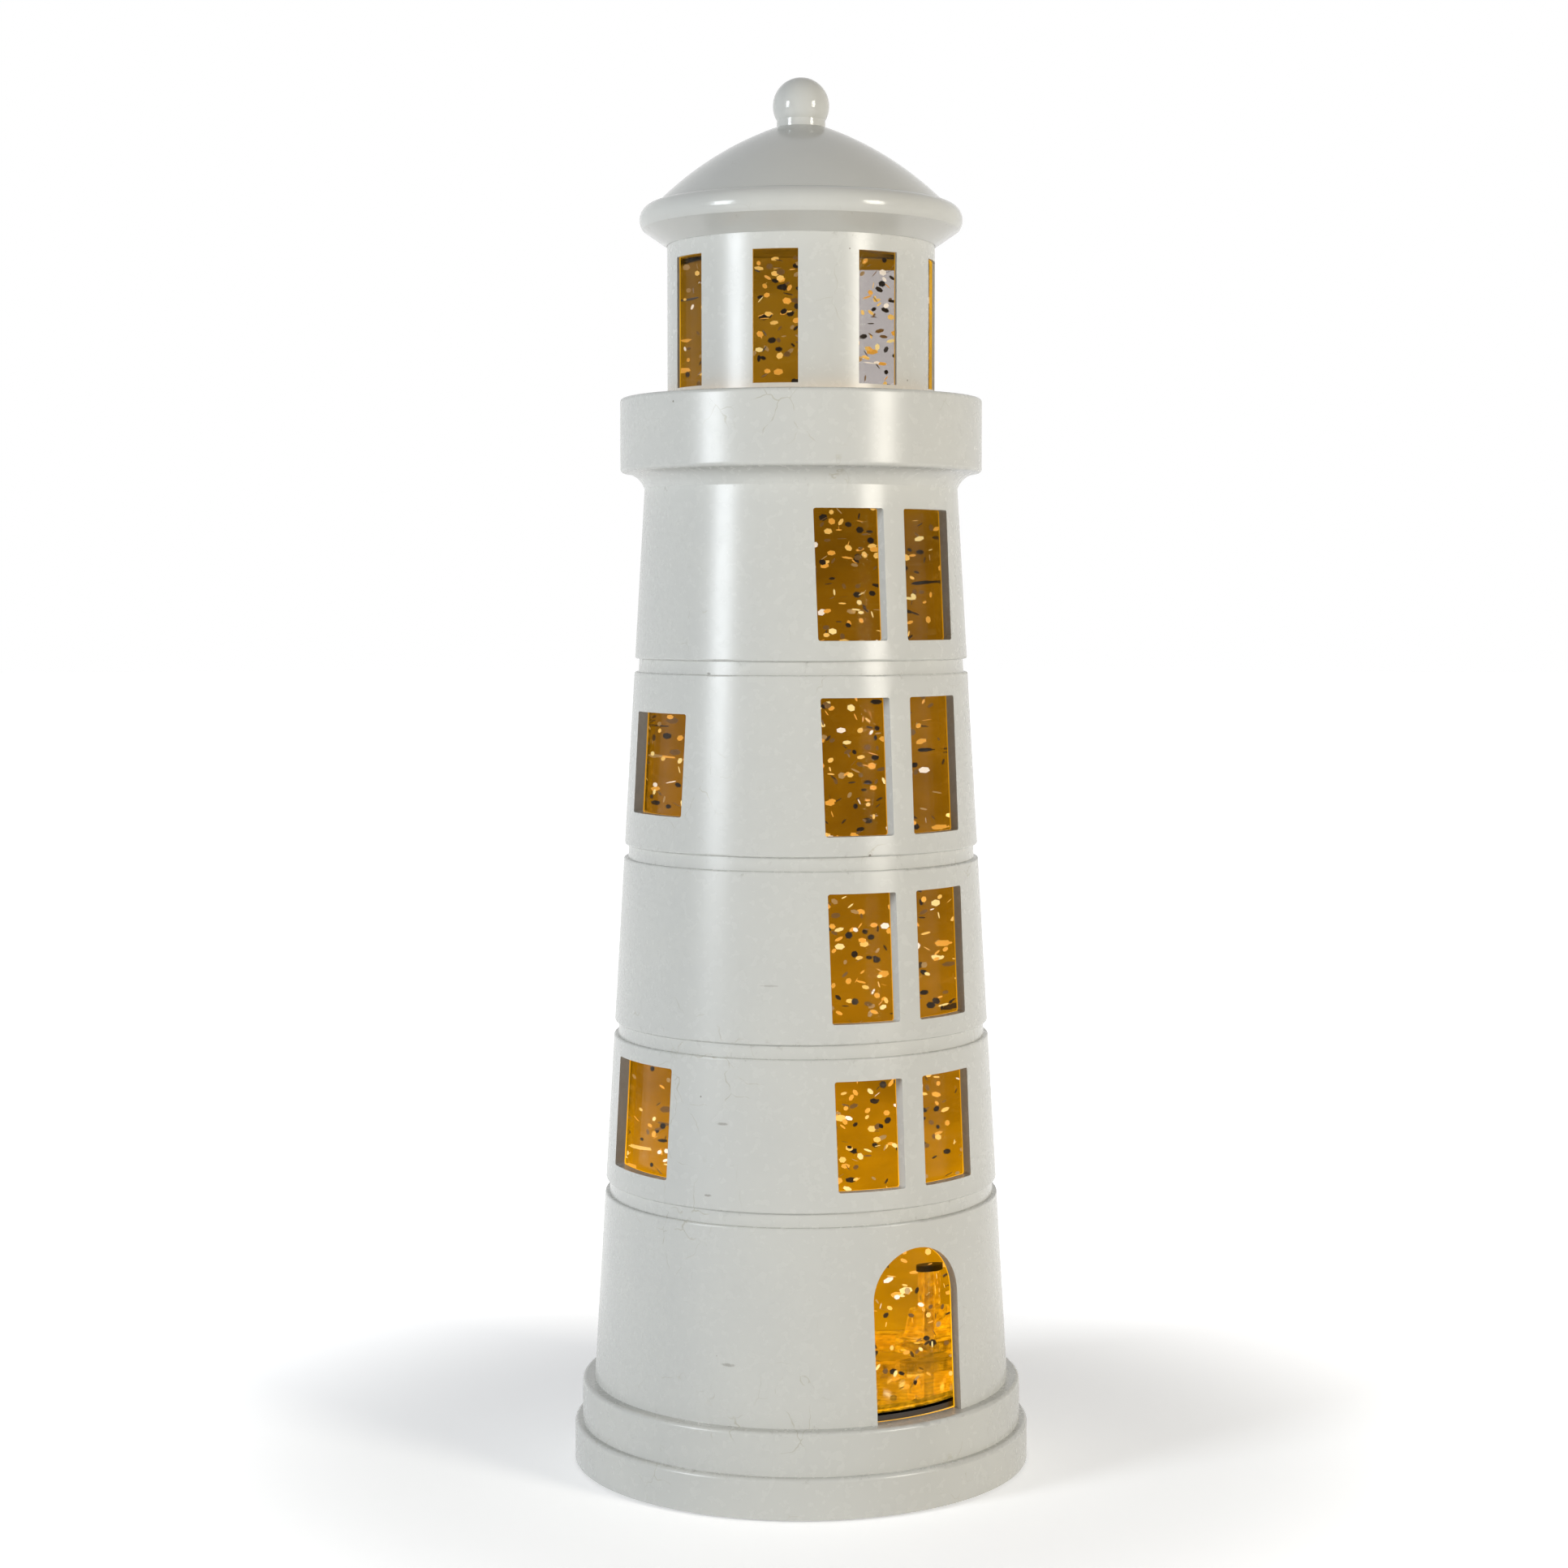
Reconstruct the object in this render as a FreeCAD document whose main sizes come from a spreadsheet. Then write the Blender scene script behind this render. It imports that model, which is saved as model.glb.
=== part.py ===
import FreeCAD, Part
import math
import os

import Sketcher

# A lighthouse lantern: a white tapered tower with window openings stands round a clear,
# liquid-filled vessel.  A motor in the plinth turns a pair of drive magnets, they turn the
# impeller through the vessel's floor, and the impeller swirls the glitter in the liquid.
# Frame: origin on the ground at the middle of the plinth, +Z up, the door faces -Y.

# Every driving dimension, in millimetres unless its note says otherwise.
SIZES = [
    # Plinth: the pan that closes the base
    ("plinth_radius", 59.0, "outside of the lower step"),
    ("plinth_wall", 2.0, "wall of the lower step"),
    ("plinth_height", 10.1, "lower step, rim to top"),
    ("rim_lift", 0.4, "gap that the feet leave under the rim"),
    ("underside_recess", 1.2, "underside above the rim"),
    ("pan_floor_thick", 1.8, "floor of the pan"),
    ("flange_thick", 2.0, "top of the lower step"),
    ("spigot_wall", 2.0, "ring that enters the tower"),
    ("spigot_clearance", 0.2, "radial gap between the ring and the tower skirt"),
    ("edge_round", 1.0, "rounded outer edges of the steps"),
    ("foot_radius", 5.0, "rubber foot"),
    ("foot_inset", 9.0, "middle of a foot in from the outside of the lower step"),
    # Tower
    ("step_inset", 2.0, "upper step in from the lower step"),
    ("step_height", 10.9, "upper step, bottom to top"),
    ("step_thick", 2.0, "top wall of the upper step"),
    ("skirt_wall", 2.0, "side wall of the upper step"),
    ("tower_foot_radius", 53.8, "outside of the tower at the step"),
    ("tower_top_radius", 40.15, "outside of the tower at the top"),
    ("tower_wall", 3.0, "wall of the tower"),
    ("storey_1", 50.5, "step to first groove"),
    ("storey_2", 41.0, "first to second groove"),
    ("storey_3", 45.7, "second to third groove"),
    ("storey_4", 47.7, "third to fourth groove"),
    ("storey_5", 44.9, "fourth groove to tower top"),
    ("groove_width", 3.4, "width of a groove"),
    ("groove_depth", 1.1, "depth of a groove"),
    ("groove_round", 0.5, "rounded lip of a groove"),
    ("tongue_height", 1.0, "locating tongue on the tower top"),
    ("tongue_wall", 1.0, "thickness of the tongue"),
    ("tongue_inset", 1.0, "tongue in from the inner edge"),
    ("tongue_clearance", 0.15, "gap round the tongue"),
    # Window openings
    ("mullion_width", 6.14, "bar between two panes over the door"),
    ("pane_width", 17.2, "width of one pane"),
    ("sill_margin", 6.7, "groove to the pane above it"),
    ("head_margin", 7.2, "pane to the groove above it"),
    ("top_head_margin", 5.8, "highest pane to the tower top"),
    ("side_low_width", 24.8, "lower side window"),
    ("side_low_sill", 7.5, "groove to the lower side window"),
    ("side_low_head", 5.8, "lower side window to the next groove"),
    ("side_high_width", 22.6, "upper side window"),
    ("side_high_sill", 10.7, "groove to the upper side window"),
    ("side_high_head", 11.5, "upper side window to the next groove"),
    ("door_width", 25.6, "doorway"),
    ("door_straight", 29.5, "straight side of the doorway"),
    ("corner_round", 0.6, "rounded corner of an opening"),
    # Tower screws
    ("screw_inset", 3.0, "base screw in from the inside of the skirt"),
    ("boss_radius", 3.2, "screw boss in the tower skirt"),
    ("boss_hole_radius", 1.3, "hole that the screw bites into"),
    ("boss_clearance", 0.4, "gap round a boss"),
    ("post_radius", 4.2, "screw post in the pan"),
    ("screw_head_radius", 2.4, "base screw head"),
    ("screw_head_height", 1.6, "base screw head"),
    ("screw_shank_radius", 1.25, "base screw shank"),
    ("screw_bite", 6.5, "length of the screw in the boss"),
    ("screw_seat_thick", 1.8, "post wall under the screw head"),
    ("screw_clearance", 0.15, "gap round a screw"),
    # Gallery
    ("gallery_overhang", 6.15, "outside of the gallery band past the tower top"),
    ("band_proud", 0.8, "band past the outer end of the cove under it"),
    ("cove_height", 4.1, "height of the cove"),
    ("cove_hollow", 1.1, "how far the cove dips under a straight line"),
    ("band_height", 18.9, "height of the band"),
    ("gallery_wall", 2.2, "wall of the band"),
    # Lantern room
    ("lantern_radius", 34.17, "outside of the lantern room"),
    ("lantern_wall", 1.0, "wall of the lantern room"),
    ("lantern_height", 38.6, "gallery floor to the roof"),
    ("lantern_hole_gap", 0.2, "gap where the wall passes the gallery"),
    ("lantern_flange_radius", 38.0, "flange under the gallery floor"),
    ("lantern_flange_thick", 2.0, "flange under the gallery floor"),
    ("lantern_tuck", 2.2, "wall hidden in the roof's groove"),
    ("lantern_windows", 8, "number of windows, a count"),
    ("lantern_window_width", 11.4, "one window"),
    ("lantern_window_sill", 1.9, "gallery floor to the window"),
    ("lantern_window_head", 4.1, "window to the roof"),
    # Roof
    ("eave_radius", 40.4, "outer end of the soffit"),
    ("eave_rise", 4.2, "height of the soffit"),
    ("lip_radius", 41.2, "widest point of the eave"),
    ("lip_rise", 2.0, "soffit end to the widest point"),
    ("crease_radius", 37.0, "where the eave meets the slope"),
    ("crease_rise", 6.3, "soffit end to the crease"),
    ("slope_mid_radius", 21.5, "a point half way up the slope"),
    ("slope_mid_rise", 12.26, "crease to the middle of the slope"),
    ("crown_radius", 6.4, "flat on top of the roof"),
    ("crown_rise", 19.6, "crease to the crown"),
    ("roof_wall", 2.0, "wall of the roof"),
    ("roof_groove_gap", 0.1, "gap round the wall in the roof's groove"),
    ("roof_lip_wall", 1.2, "lip inside the roof's groove"),
    ("roof_lip_drop", 1.5, "how far that lip reaches below the groove floor"),
    # Finial
    ("finial_ball_radius", 7.2, "ball on the roof"),
    ("finial_neck_radius", 6.2, "foot of the ball"),
    ("finial_neck_height", 2.2, "foot of the ball"),
    ("finial_lift", 5.5, "crown to the middle of the ball"),
    ("finial_screw_radius", 1.2, "screw that holds the ball"),
    ("finial_screw_bite", 6.0, "length of that screw in the ball"),
    # Vessel
    ("vessel_gap", 0.8, "gap between vessel and tower wall"),
    ("vessel_wall", 2.0, "wall of the vessel"),
    ("vessel_shoulder_rise", 6.7, "band bottom to the shoulder"),
    ("shoulder_height", 4.5, "height of the shoulder"),
    ("neck_gap", 0.3, "gap between vessel and lantern room"),
    ("neck_drop", 4.6, "roof line to the top of the straight neck"),
    ("dome_round", 5.3, "rounded top edge of the vessel"),
    ("filler_radius", 9.0, "outside of the filler neck"),
    ("filler_bore", 6.0, "radius of the filler hole"),
    ("filler_height", 6.5, "height of the filler neck"),
    ("plug_clearance", 0.05, "gap round the filler plug"),
    ("plug_head", 2.0, "head of the filler plug"),
    ("plug_length", 8.0, "stem of the filler plug"),
    ("vessel_floor_thick", 2.0, "floor disc of the vessel"),
    ("vessel_floor_gap", 0.2, "radial gap round the floor disc"),
    ("liquid_gap", 0.05, "film between liquid and vessel"),
    ("gasket_thick", 1.4, "rubber ring under the vessel"),
    ("gasket_width", 3.6, "radial width of the rubber ring"),
    ("press_gap", 0.02, "gap round anything pressed into a hole"),
    # Impeller
    ("impeller_x", 27.0, "axis of motor and impeller, right of the middle"),
    ("spindle_radius", 0.8, "fixed steel spindle"),
    ("spindle_sink", 1.6, "spindle in the vessel floor"),
    ("spindle_fit", 0.05, "running clearance on the spindle"),
    ("spindle_boss_radius", 3.0, "boss round the spindle"),
    ("spindle_boss_height", 0.8, "boss round the spindle"),
    ("impeller_lift", 0.3, "running gap under the impeller"),
    ("impeller_skirt_radius", 5.8, "magnet holder of the impeller"),
    ("impeller_skirt_height", 3.5, "magnet holder of the impeller"),
    ("hub_foot_radius", 4.4, "tapered hub, bottom"),
    ("hub_top_radius", 3.3, "tapered hub, top"),
    ("hub_height", 7.2, "tapered hub"),
    ("sleeve_radius", 1.9, "slim sleeve over the hub"),
    ("sleeve_height", 9.4, "slim sleeve over the hub"),
    ("blade_count", 4, "number of blades, a count"),
    ("blade_reach", 11.5, "tip radius of a blade"),
    ("blade_root", 4.6, "radius where a blade starts"),
    ("blade_chord", 5.4, "width of a blade along its slope"),
    ("blade_thick", 1.0, "thickness of a blade"),
    ("blade_pitch", 35.0, "slope of a blade, degrees"),
    ("ring_magnet_radius", 5.0, "magnet ring in the impeller"),
    ("ring_magnet_bore", 2.1, "hole of the magnet ring"),
    ("ring_magnet_thick", 2.4, "magnet ring in the impeller"),
    ("ring_magnet_gap", 0.1, "gap round the magnet ring"),
    ("cap_radius", 2.2, "cap on the spindle"),
    ("cap_height", 1.6, "cap on the spindle"),
    ("cap_gap", 0.3, "running gap under the cap"),
    ("sweep_gap", 1.1, "liquid kept clear of the blades"),
    # Motor
    ("pad_thick", 0.5, "rubber pad under the motor"),
    ("pad_radius", 11.5, "rubber pad under the motor"),
    ("motor_radius", 12.2, "motor can"),
    ("motor_height", 12.3, "motor can"),
    ("can_wall", 0.8, "motor can"),
    ("end_cap_thick", 1.8, "plastic end of the motor"),
    ("end_cap_gap", 0.1, "gap between motor end and can"),
    ("motor_boss_radius", 3.2, "bush housing on the motor"),
    ("motor_boss_height", 1.0, "bush housing on the motor"),
    ("shaft_radius", 1.0, "motor shaft"),
    ("shaft_fit", 0.03, "running clearance in the bushes"),
    ("shaft_end_gap", 0.6, "shaft end above the motor's bottom"),
    ("bush_radius", 2.2, "sintered bush"),
    ("bush_length", 1.8, "sintered bush"),
    ("stator_radius", 11.3, "outside of the field magnets"),
    ("stator_thick", 2.2, "field magnets"),
    ("stator_height", 5.2, "field magnets"),
    ("stator_arc", 140.0, "arc of one field magnet, degrees"),
    ("armature_radius", 8.4, "iron core of the armature"),
    ("armature_height", 3.4, "iron core of the armature"),
    ("armature_hub_radius", 2.8, "middle of the iron core"),
    ("armature_lift", 4.9, "motor bottom to the iron core"),
    ("pole_stem_width", 2.4, "arm of the iron core"),
    ("pole_shoe_thick", 1.4, "outer face of a pole"),
    ("pole_shoe_width", 12.0, "outer face of a pole"),
    ("winding_width", 5.0, "copper coil round an arm"),
    ("winding_proud", 0.8, "copper coil above and below the core"),
    ("winding_gap", 0.05, "gap round an arm"),
    ("commutator_radius", 2.4, "commutator"),
    ("commutator_height", 1.6, "commutator"),
    ("commutator_lift", 2.5, "motor bottom to the commutator"),
    ("brush_gap", 0.1, "brush to commutator"),
    ("brush_length", 4.6, "carbon brush"),
    ("brush_width", 1.6, "carbon brush"),
    ("brush_height", 1.2, "carbon brush"),
    ("cup_gap", 0.3, "gap between motor and its cup"),
    ("cup_wall", 1.4, "cup in the pan"),
    ("cup_height", 6.0, "cup in the pan"),
    ("strap_thick", 0.5, "steel strap over the motor"),
    ("strap_width", 8.0, "steel strap over the motor"),
    ("strap_hole_gap", 0.3, "gap round the motor boss"),
    ("strap_post_offset", 17.4, "motor axis to a strap post"),
    ("strap_post_radius", 2.6, "post that carries the strap"),
    ("strap_overhang", 2.2, "strap end beyond the screw"),
    ("small_screw_head_radius", 1.7, "strap and board screws"),
    ("small_screw_head_height", 1.1, "strap and board screws"),
    ("small_screw_shank_radius", 0.85, "strap and board screws"),
    ("small_screw_length", 5.0, "strap and board screws"),
    ("small_screw_gap", 0.05, "gap round a small screw"),
    # Drive magnets
    ("carrier_gap", 0.3, "running gap over the motor boss"),
    ("carrier_radius", 10.5, "magnet carrier"),
    ("carrier_thick", 2.0, "magnet carrier"),
    ("drive_magnet_radius", 3.0, "drive magnet"),
    ("drive_magnet_thick", 1.5, "drive magnet"),
    ("drive_magnet_offset", 6.2, "carrier axis to a magnet"),
    ("drive_magnet_gap", 0.05, "gap round a drive magnet"),
    # Deck
    ("deck_gap", 0.3, "gap under the deck"),
    ("deck_thick", 1.4, "deck over motor and cells"),
    ("deck_rim_thick", 1.6, "rim clamped under the tower's shoulder"),
    ("deck_rim_gap", 0.2, "gap between rim and skirt"),
    ("deck_wall", 1.6, "ring wall of the deck"),
    ("deck_bore_gap", 0.4, "gap between ring wall and tower bore"),
    ("light_window", 5.0, "square light hole in the deck"),
    ("light_circle", 43.6, "radius of the circle of lights"),
    ("light_count", 5, "number of lights, a count"),
    ("light_step", 30.0, "angle between lights, degrees"),
    ("led_length", 3.5, "one light"),
    ("led_width", 2.8, "one light"),
    ("led_height", 0.7, "body of one light"),
    ("led_lens_radius", 1.1, "lens of one light"),
    ("led_lens_height", 0.4, "lens of one light"),
    ("led_board_width", 7.0, "radial width of the light board"),
    ("led_board_thick", 1.0, "light board"),
    ("led_board_arc", 140.0, "arc of the light board, degrees"),
    # Battery compartment
    ("cell_radius", 7.25, "one AA cell"),
    ("cell_length", 50.5, "one AA cell with its button"),
    ("cell_button_radius", 2.7, "positive button"),
    ("cell_button_length", 1.2, "positive button"),
    ("cell_count", 3, "number of cells, a count"),
    ("cell_gap", 0.5, "gap between cells"),
    ("cell_side_gap", 0.3, "gap between cell and wall"),
    ("cell_head_gap", 0.3, "gap over a cell"),
    ("cell_door_gap", 0.3, "gap between cell and door"),
    ("box_middle_x", -14.5, "middle of the battery compartment"),
    ("box_wall", 1.2, "side wall of the compartment"),
    ("box_roof", 1.0, "ceiling of the compartment"),
    ("spring_room", 4.8, "contact plate to the flat end of a cell"),
    ("leaf_thick", 0.3, "strip of a contact spring"),
    ("leaf_width", 5.0, "strip of a contact spring"),
    ("leaf_reach", 4.2, "cell axis to the foot of a contact spring"),
    ("leaf_gap", 0.05, "gap between a contact spring and its cell"),
    ("contact_thick", 0.4, "contact plate"),
    ("contact_width", 9.0, "contact plate"),
    ("contact_height", 10.0, "contact plate"),
    # Battery door
    ("door_thick", 1.4, "battery door"),
    ("door_gap", 0.3, "gap round the battery door"),
    ("hinge_pin_radius", 0.75, "hinge pin of the battery door"),
    ("hinge_fit", 0.06, "running clearance on the pin"),
    ("knuckle_radius", 1.5, "knuckle of the hinge"),
    ("knuckle_length", 10.0, "one knuckle"),
    ("knuckle_spread", 15.0, "middle of the door to a knuckle"),
    ("lug_length", 4.0, "pan lug that holds the pin"),
    ("lug_gap", 0.3, "gap between knuckle and lug"),
    ("tongue_slot_width", 0.8, "slot beside the latch tongue"),
    ("latch_width", 12.0, "latch tongue of the door"),
    ("latch_length", 8.0, "latch tongue of the door"),
    ("thumb_radius", 7.0, "thumb notch in the pan"),
    ("thumb_depth", 0.9, "thumb notch in the pan"),
    # Switch and control board
    ("board_x", 20.0, "middle of the control board"),
    ("board_length", 21.0, "control board along X"),
    ("board_wall_gap", 0.9, "control board to the inside of the spigot"),
    ("board_north_gap", 3.0, "control board to the strap post"),
    ("board_thick", 1.4, "control board"),
    ("board_post_radius", 1.9, "post that carries the board"),
    ("board_post_inset", 2.4, "board edge to a post"),
    ("switch_length", 12.0, "switch body along X"),
    ("switch_width", 5.6, "switch body along Y"),
    ("switch_height", 4.7, "switch body"),
    ("switch_floor_gap", 0.5, "switch body above the pan floor"),
    ("switch_travel", 2.0, "slide of the knob each way"),
    ("knob_length", 3.4, "switch knob along X"),
    ("knob_width", 2.4, "switch knob along Y"),
    ("knob_proud", 0.5, "knob below the pan floor"),
    ("knob_gap", 0.3, "gap round the knob"),
    ("knob_stem", 1.6, "stem of the knob along X"),
    ("knob_stem_width", 1.0, "stem of the knob along Y"),
    ("knob_stem_height", 2.0, "stem inside the switch body"),
    ("chip_length", 5.0, "timer chip"),
    ("chip_width", 4.0, "timer chip"),
    ("chip_height", 1.5, "timer chip"),
    ("resistor_length", 3.2, "resistor"),
    ("resistor_width", 1.6, "resistor"),
    ("resistor_height", 0.6, "resistor"),
    # Leads
    ("lead_radius", 0.5, "insulated lead"),
    ("lead_gap", 0.2, "gap between a lead and what it passes"),
    ("lead_swing", 3.0, "how far a lead runs on past a corner"),
]

VALUES = {alias: value for alias, value, note in SIZES}

doc = FreeCAD.newDocument("LighthouseLantern")
sheet = doc.addObject("Spreadsheet::Sheet", "Sizes")
for row, (alias, value, note) in enumerate(SIZES, start=1):
    sheet.set(f"A{row}", note)
    sheet.set(f"B{row}", str(value))
    sheet.setAlias(f"B{row}", alias)
doc.recompute()


class Size:
    """A number that carries the sheet expression it comes from."""

    def __init__(self, value, text):
        self.value = value
        self.text = text

    def __add__(self, other):
        other = as_size(other)
        return Size(self.value + other.value, f"({self.text} + {other.text})")

    def __sub__(self, other):
        other = as_size(other)
        return Size(self.value - other.value, f"({self.text} - {other.text})")

    def __mul__(self, other):
        other = as_size(other)
        return Size(self.value * other.value, f"({self.text} * {other.text})")

    def __truediv__(self, other):
        other = as_size(other)
        return Size(self.value / other.value, f"({self.text} / {other.text})")

    def __radd__(self, other):
        return as_size(other) + self

    def __rsub__(self, other):
        return as_size(other) - self

    def __rmul__(self, other):
        return as_size(other) * self

    def __neg__(self):
        return as_size(0) - self


def as_size(number):
    """A Size as it is, or a plain number as a Size."""
    if isinstance(number, Size):
        return number
    return Size(number, f"({number:.10g})")


def root(size):
    """The square root of a size."""
    return Size(math.sqrt(size.value), f"sqrt({size.text})")


def larger(first, second):
    """The larger of two sizes."""
    return Size(max(first.value, second.value), f"max({first.text}; {second.text})")


class SheetSizes:
    """s.NAME is the size of that alias in the sheet."""

    def __getattr__(self, alias):
        return Size(VALUES[alias], f"Sizes.{alias}")


s = SheetSizes()
COS_45 = math.cos(math.radians(45))
OVERCUT = 1
POINT_SHARE = 0.2
RECESS_SPREAD = 1.2
BEND_SHARE = 0.45

# ---------------------------------------------------------------------------
# Levels and radii that several pieces share
# ---------------------------------------------------------------------------

pan_under = s.rim_lift + s.underside_recess
pan_top = pan_under + s.pan_floor_thick
plinth_top = s.rim_lift + s.plinth_height
step_top = plinth_top + s.step_height
shoulder_under = step_top - s.step_thick
spigot_top = shoulder_under - s.deck_rim_thick
step_radius = s.plinth_radius - s.step_inset
skirt_bore = step_radius - s.skirt_wall
spigot_radius = skirt_bore - s.spigot_clearance
spigot_bore = spigot_radius - s.spigot_wall
screw_circle = skirt_bore - s.screw_inset
foot_circle = s.plinth_radius - s.foot_inset

tower_height = s.storey_1 + s.storey_2 + s.storey_3 + s.storey_4 + s.storey_5
tower_top = step_top + tower_height
tower_taper = (s.tower_foot_radius - s.tower_top_radius) / tower_height
groove_levels = [step_top + s.storey_1]
for storey in (s.storey_2, s.storey_3, s.storey_4):
    groove_levels.append(groove_levels[-1] + storey)


def tower_outside(level):
    """Outside radius of the tower at a height."""
    return s.tower_foot_radius - (level - step_top) * tower_taper


def tower_bore(level):
    """Inside radius of the tower at a height."""
    return tower_outside(level) - s.tower_wall


def vessel_outside(level):
    """Outside radius of the vessel's tapered part at a height."""
    return tower_bore(level) - s.vessel_gap


gallery_radius = s.tower_top_radius + s.gallery_overhang
cove_radius = gallery_radius - s.band_proud
gallery_low = tower_top + s.cove_height
gallery_top = gallery_low + s.band_height
roof_line = gallery_top + s.lantern_height
lantern_top = roof_line + s.lantern_tuck
lantern_bore = s.lantern_radius - s.lantern_wall
eave_level = roof_line + s.eave_rise
crease_level = eave_level + s.crease_rise
crown_level = crease_level + s.crown_rise

motor_bottom = pan_top + s.pad_thick
motor_top = motor_bottom + s.motor_height
motor_boss_top = motor_top + s.motor_boss_height
strap_top = motor_top + s.strap_thick
carrier_bottom = motor_boss_top + s.carrier_gap
carrier_top = carrier_bottom + s.carrier_thick

door_inside = pan_under + s.door_thick
cell_axis = door_inside + s.cell_door_gap + s.cell_radius
box_ceiling = cell_axis + s.cell_radius + s.cell_head_gap
box_top = box_ceiling + s.box_roof
cell_pitch = 2 * s.cell_radius + s.cell_gap
box_inner_length = s.cell_length + s.spring_room + 2 * s.contact_thick
box_inner_width = s.cell_count * cell_pitch - s.cell_gap + 2 * s.cell_side_gap
box_west = s.box_middle_x - box_inner_width / 2
box_east = s.box_middle_x + box_inner_width / 2
box_end = box_inner_length / 2

deck_under = larger(carrier_top, box_top) + s.deck_gap
deck_top = deck_under + s.deck_thick
deck_radius = tower_bore(step_top) - s.deck_bore_gap
vessel_foot = deck_top + s.gasket_thick
vessel_floor_top = vessel_foot + s.vessel_floor_thick
vessel_shoulder = gallery_low + s.vessel_shoulder_rise
neck_radius = lantern_bore - s.neck_gap
neck_low = vessel_shoulder + s.shoulder_height
neck_high = roof_line - s.neck_drop
vessel_top = neck_high + s.dome_round
filler_top = vessel_top + s.filler_height

spindle_boss_top = vessel_floor_top + s.spindle_boss_height
impeller_bottom = spindle_boss_top + s.impeller_lift
hub_bottom = impeller_bottom + s.impeller_skirt_height
hub_top = hub_bottom + s.hub_height
sleeve_top = hub_top + s.sleeve_height
cap_bottom = sleeve_top + s.cap_gap
cap_top = cap_bottom + s.cap_height

# ---------------------------------------------------------------------------
# Drawing helpers
# ---------------------------------------------------------------------------


def bind(item, prop, value):
    """Tie a property to the sheet."""
    item.setExpression(prop, as_size(value).text)


def place(item, x=0, y=0, z=0):
    """Tie the place of a piece to the sheet."""
    for axis, value in (("x", x), ("y", y), ("z", z)):
        bind(item, f"Placement.Base.{axis}", value)
    return item


def turn(item, angle, axis=(0, 0, 1)):
    """Turn a piece about an axis through its own origin, in degrees."""
    item.Placement = FreeCAD.Placement(item.Placement.Base, FreeCAD.Rotation(FreeCAD.Vector(*axis), angle))
    return item


def cylinder(name, radius, height, x=0, y=0, z=0):
    item = doc.addObject("Part::Cylinder", name)
    bind(item, "Radius", radius)
    bind(item, "Height", height)
    return place(item, x, y, z)


def cone(name, low_radius, high_radius, height, x=0, y=0, z=0):
    item = doc.addObject("Part::Cone", name)
    bind(item, "Radius1", low_radius)
    bind(item, "Radius2", high_radius)
    bind(item, "Height", height)
    return place(item, x, y, z)


def block(name, x_range, y_range, z_range):
    """A box from its low and high limits along each axis."""
    item = doc.addObject("Part::Box", name)
    ranges = [(as_size(low), as_size(high)) for low, high in (x_range, y_range, z_range)]
    for prop, (low, high) in zip(("Length", "Width", "Height"), ranges):
        bind(item, prop, high - low)
    return place(item, *[low for low, high in ranges])


def centred_block(name, middle_x, middle_y, length, width, low, high):
    """A box centred on a point in plan."""
    x, y = as_size(middle_x), as_size(middle_y)
    half_length, half_width = as_size(length) / 2, as_size(width) / 2
    return block(name, (x - half_length, x + half_length), (y - half_width, y + half_width), (low, high))


def fuse(name, items):
    joined = doc.addObject("Part::MultiFuse", name)
    joined.Shapes = items
    return joined


def cut(name, base, tools):
    removed = doc.addObject("Part::Cut", name)
    removed.Base = base
    removed.Tool = tools[0] if len(tools) == 1 else fuse(f"{name}_cutters", tools)
    return removed


def group(name, items):
    """Separate solids that share one node."""
    together = doc.addObject("Part::Compound", name)
    together.Links = items
    return together


def ring(name, outer, inner, height, x=0, y=0, z=0):
    """A flat-ended tube."""
    outside = cylinder(f"{name}_outside", outer, height, x, y, z)
    inside = cylinder(f"{name}_inside", inner, as_size(height) + 2 * OVERCUT, x, y, as_size(z) - OVERCUT)
    return cut(name, outside, [inside])


def new_body(name):
    body = doc.addObject("PartDesign::Body", name)
    body.Label = name
    return body


def origin_feature(body, role):
    return next(item for item in body.Origin.OriginFeatures if item.Role == role)


def new_sketch(body, name, role, lift=0):
    """A sketch on one of the body's own origin planes, lifted along that plane's normal."""
    sketch = body.newObject("Sketcher::SketchObject", name)
    sketch.AttachmentSupport = [(origin_feature(body, role), "")]
    sketch.MapMode = "FlatFace"
    bind(sketch, "AttachmentOffset.Base.z", lift)
    return sketch


def pin_point(sketch, geometry, end, x, y):
    """Fix a point of a sketch at its distances from the origin."""
    for kind, other_axis, value in (("DistanceX", -2, as_size(x)), ("DistanceY", -1, as_size(y))):
        if abs(value.value) < 1e-9:
            sketch.addConstraint(Sketcher.Constraint("PointOnObject", geometry, end, other_axis))
            continue
        ends = (-1, 1, geometry, end) if value.value > 0 else (geometry, end, -1, 1)
        distance = value if value.value > 0 else -value
        index = sketch.addConstraint(Sketcher.Constraint(kind, *ends, distance.value))
        label = f"{kind}_{geometry}_{end}"
        sketch.renameConstraint(index, label)
        sketch.setExpression(f"Constraints.{label}", distance.text)


def arc_through(first, middle, last):
    """An anticlockwise arc through three points, and whether it runs from first to last."""
    curve = Part.Arc(first, middle, last).toShape().Curve
    centre, radius = curve.Center, curve.Radius
    angles = [math.atan2(point.y - centre.y, point.x - centre.x) for point in (first, middle, last)]
    full = 2 * math.pi
    forward = (angles[1] - angles[0]) % full < (angles[2] - angles[0]) % full
    start, stop = (angles[0], angles[2]) if forward else (angles[2], angles[0])
    if stop < start:
        stop += full
    circle = Part.Circle(centre, FreeCAD.Vector(0, 0, 1), radius)
    return Part.ArcOfCircle(circle, start, stop), forward


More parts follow.
